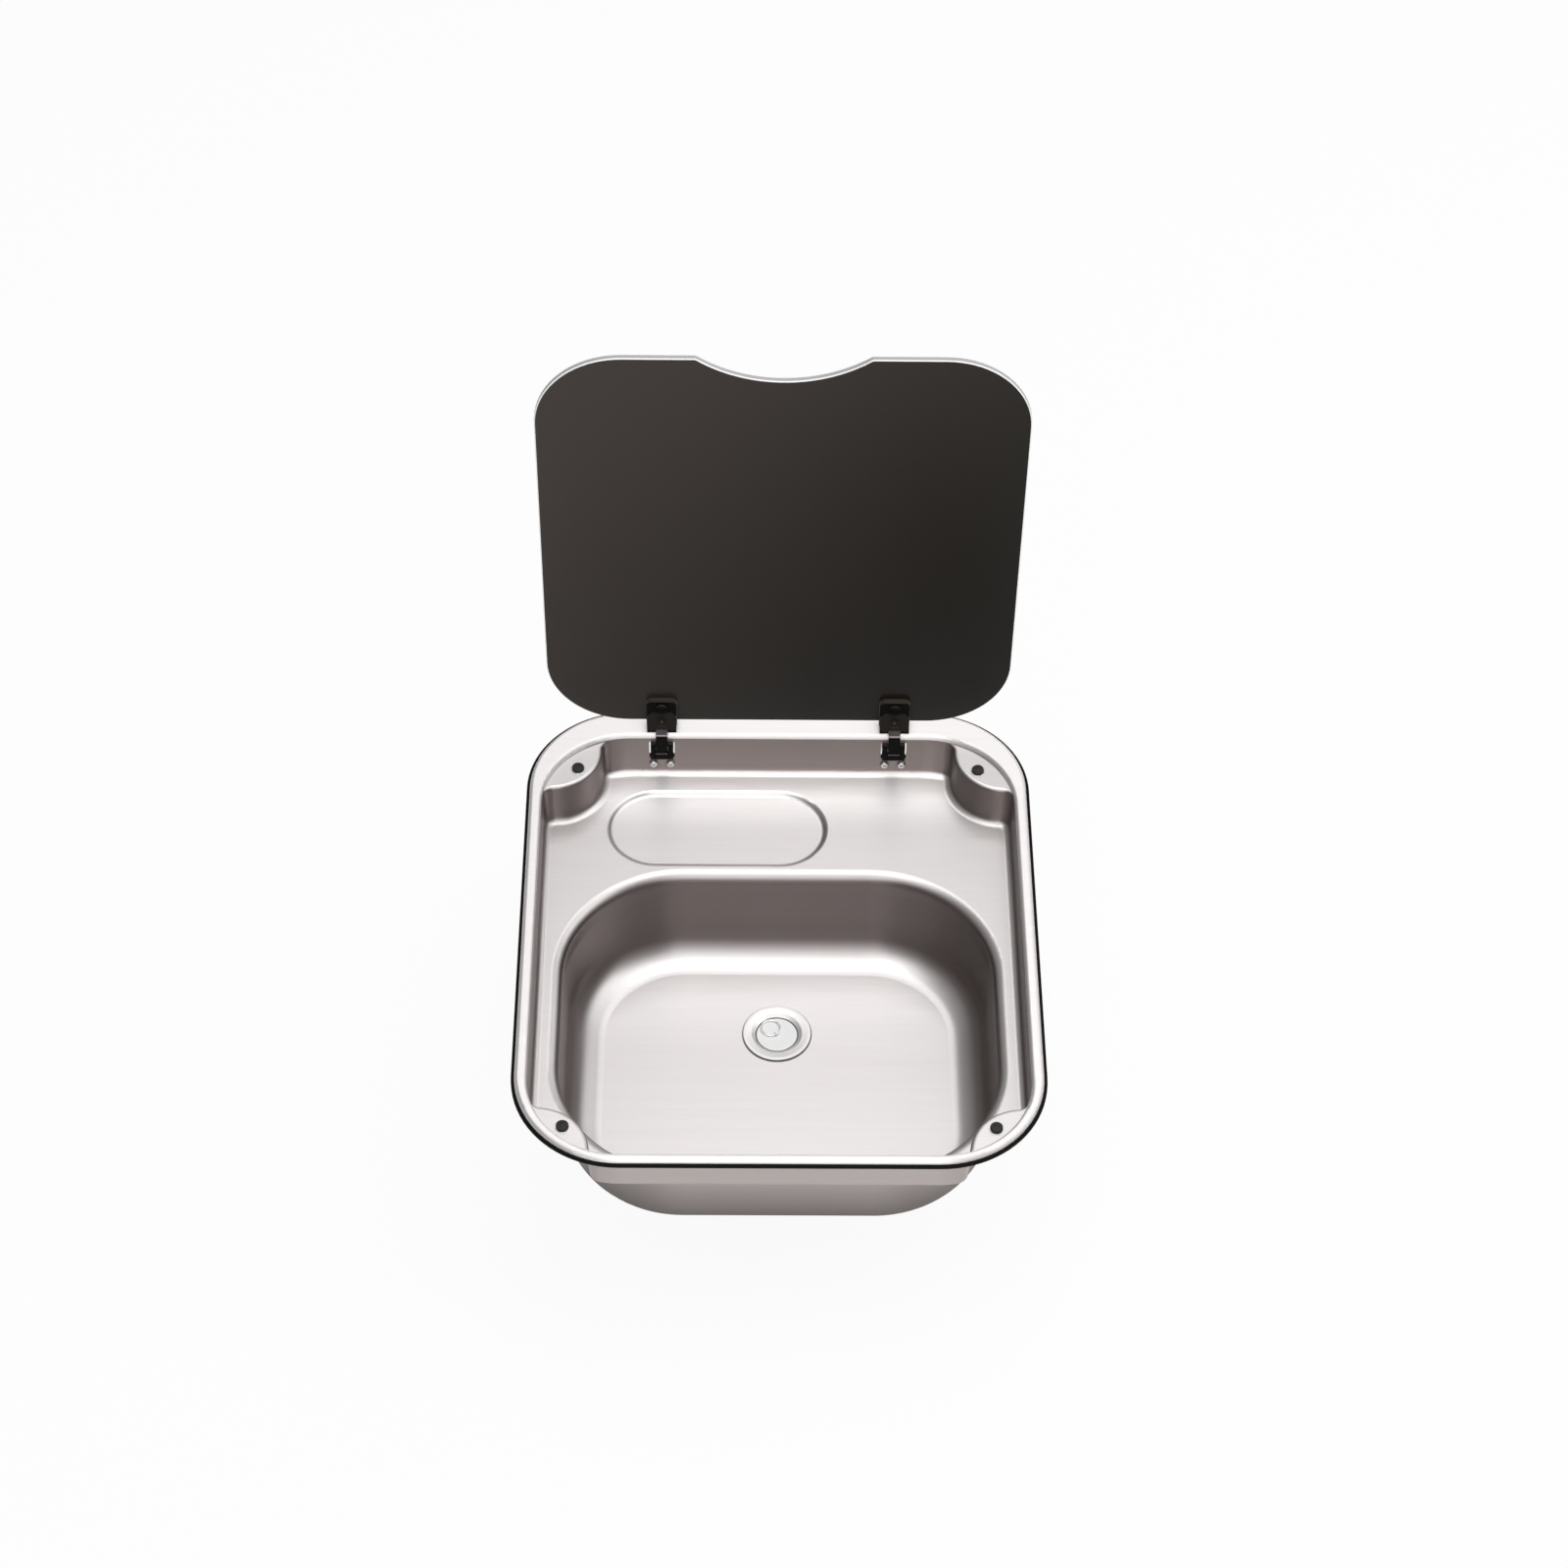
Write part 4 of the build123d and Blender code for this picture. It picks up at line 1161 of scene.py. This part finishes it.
@dataclass
class Plug:
    """The lift-out plug with its seal and ring."""

    drain: Span = (0.0, 6.0)  # mm, as all lengths here
    disc_radius: float = 16.2
    lip_reach: float = 0.65  # leaves 0.15 mm to the flange's throat
    lip_heights: Span = (-125.6, -124.75)
    lip_round: float = 0.25
    smooth: float = 60.0  # degrees
    disc: Moulded = Moulded("white_polypropylene", "#ffffff", 0.35)  # white, satin
    seal: Moulded = Moulded("black_plug_rubber", "#0c0b0b", 0.7, shine=0.2)  # matt black
    ring: Metal = Metal("chromed_wire", "#ffffff", 0.3)  # bright wire, softly shiny

    def lip(self) -> None:
        """Model the seal's lip, which shows as a dark ring round the white disc."""
        piece = spun_ring(
            "plug_seal_lip",
            self.drain,
            (self.disc_radius - SUNK, self.disc_radius + self.lip_reach),
            self.lip_heights,
            self.lip_round,
        )
        close(piece, self.seal.make(), "plug", self.smooth)

    def build(self) -> None:
        """Dress the plug's CAD nodes and add the seal's lip."""
        wear(self.disc.make(), "plug_disc")
        wear(self.seal.make(), "plug_seal")
        wear(self.ring.make(), "plug_ring")
        self.lip()


# ------------------------------------------------------------------ studio
@dataclass(frozen=True)
class Softbox:
    """One round softbox."""

    bearing: float  # degrees, clockwise from the rear
    rise: float  # degrees above the worktop
    level: float  # its brightness, where 1 is white


@dataclass
class Studio:
    """Floor, world, lamps and camera."""

    floor_z: float = -0.1907  # m
    floor_size: float = 14.0  # m
    floor_colour: str = "#f4f3f2"
    floor_white: float = 0.93  # share of plain white that the camera sees
    floor_mirror: float = 0.25  # share of that white that the steel mirrors
    world_fill: float = 0.3  # what the steel mirrors, and the fill on everything
    focal_length: float = 83.36  # mm
    sensor: float = 36.0  # mm
    clip: Span = (0.05, 50.0)  # m
    location: Point = (-0.03207, -1.75009, 2.17847)  # m
    dip: float = 48.723  # degrees, as the next two
    yaw: float = 1.1016
    roll: float = 1.148
    lamp_distance: float = 3.0  # m
    lamp_half_angle: float = 14.0  # degrees
    softboxes: tuple[Softbox, ...] = (
        Softbox(0, 90, 3.0),
        Softbox(0, 65, 1.6),
        Softbox(45, 65, 0.4),
        Softbox(90, 65, 2.0),
        Softbox(225, 65, 1.4),
        Softbox(45, 40, 0.8),
        Softbox(90, 40, 2.2),
        Softbox(180, 40, 1.1),
        Softbox(225, 40, 0.5),
        Softbox(45, 14, 0.7),
        Softbox(90, 14, 0.5),
        Softbox(180, 14, 3.2),
    )

    def camera(self) -> None:
        """Set up the camera at the photograph's place."""
        data = bpy.data.cameras.new("camera")
        data.lens, data.sensor_width = self.focal_length, self.sensor
        data.clip_start, data.clip_end = self.clip
        obj = bpy.data.objects.new("camera", data)
        bpy.context.scene.collection.objects.link(obj)
        dip, yaw, roll = (math.radians(a) for a in (self.dip, self.yaw, self.roll))
        ahead = Vector(
            (math.sin(yaw) * math.cos(dip), math.cos(yaw) * math.cos(dip), -math.sin(dip))
        )
        level = Vector((math.cos(yaw), -math.sin(yaw), 0.0))
        above = level.cross(ahead)
        right = math.cos(roll) * level + math.sin(roll) * above
        up = -math.sin(roll) * level + math.cos(roll) * above
        turn = Matrix((right, up, -ahead)).transposed()
        obj.matrix_world = Matrix.Translation(self.location) @ turn.to_4x4()
        bpy.context.scene.camera = obj

    def lamp(self, box: Softbox) -> None:
        """Hang one softbox, facing the sink.

        Args:
            box: Its direction and level.
        """
        bearing, rise = math.radians(box.bearing), math.radians(box.rise)
        flat = Vector((math.sin(bearing), math.cos(bearing), 0.0))
        way = flat * math.cos(rise) + Vector((0.0, 0.0, math.sin(rise)))
        radius = self.lamp_distance * math.tan(math.radians(self.lamp_half_angle))
        area = math.pi * radius**2
        data = bpy.data.lights.new(f"softbox_{box.bearing:.0f}_{box.rise:.0f}", "AREA")
        data.shape = "DISK"
        data.size = 2 * radius
        data.energy = box.level * math.pi * area  # pi watts to the square metre look white
        obj = bpy.data.objects.new(data.name, data)
        bpy.context.scene.collection.objects.link(obj)
        obj.location = way * self.lamp_distance
        obj.rotation_euler = (-way).to_track_quat("-Z", "Y").to_euler()

    def floor(self) -> None:
        """Lay the pale floor, which is near white to the eye and keeps a faint shadow."""
        bpy.ops.object.select_all(action="DESELECT")
        bpy.ops.mesh.primitive_plane_add(size=self.floor_size, location=(0, 0, self.floor_z))
        obj = bpy.context.object
        obj.name = "studio_floor"
        shader = Shader(bpy.data.materials.new("pale_floor"))
        glossy = shader.path.outputs["Is Glossy Ray"]
        mirrored = shader.calc("MULTIPLY_ADD", glossy, self.floor_mirror, shader.seen)
        share = shader.calc("MULTIPLY", mirrored, self.floor_white)
        matt = shader.put("BsdfDiffuse", inputs={"Color": self.floor_colour})
        glow = shader.put("Emission", inputs={"Color": WHITE, "Strength": 1.0})
        both = {0: share, 1: matt.outputs[0], 2: glow.outputs[0]}
        mixed = shader.put("MixShader", inputs=both)
        shader.put("OutputMaterial", inputs={0: mixed.outputs[0]})
        obj.data.materials.append(shader.owner)

    def world(self) -> None:
        """Make the surroundings: white to the eye, and pale grey in the steel's mirror image."""
        world = bpy.data.worlds.new("studio")
        bpy.context.scene.world = world
        shader = Shader(world)
        level = shader.calc("MAXIMUM", shader.seen, self.world_fill)
        sky = shader.put("Background", inputs={"Color": WHITE, "Strength": level})
        shader.put("OutputWorld", inputs={0: sky.outputs[0]})

    def build(self) -> None:
        """Build the whole studio."""
        self.camera()
        self.floor()
        self.world()
        for box in self.softboxes:
            self.lamp(box)
        bpy.context.scene.view_settings.view_transform = "Standard"


def main() -> None:
    """Build the studio and every sub-assembly in order."""
    logging.basicConfig(level=logging.INFO, format="%(message)s")
    hinges = (Hinge(side) for side in Side)
    for assembly in (Studio(), Basin(), Buffers(), Lid(), *hinges, Waste(), Plug()):
        assembly.build()
        log.info("%s built", type(assembly).__name__)


if __name__ == "__main__":
    main()
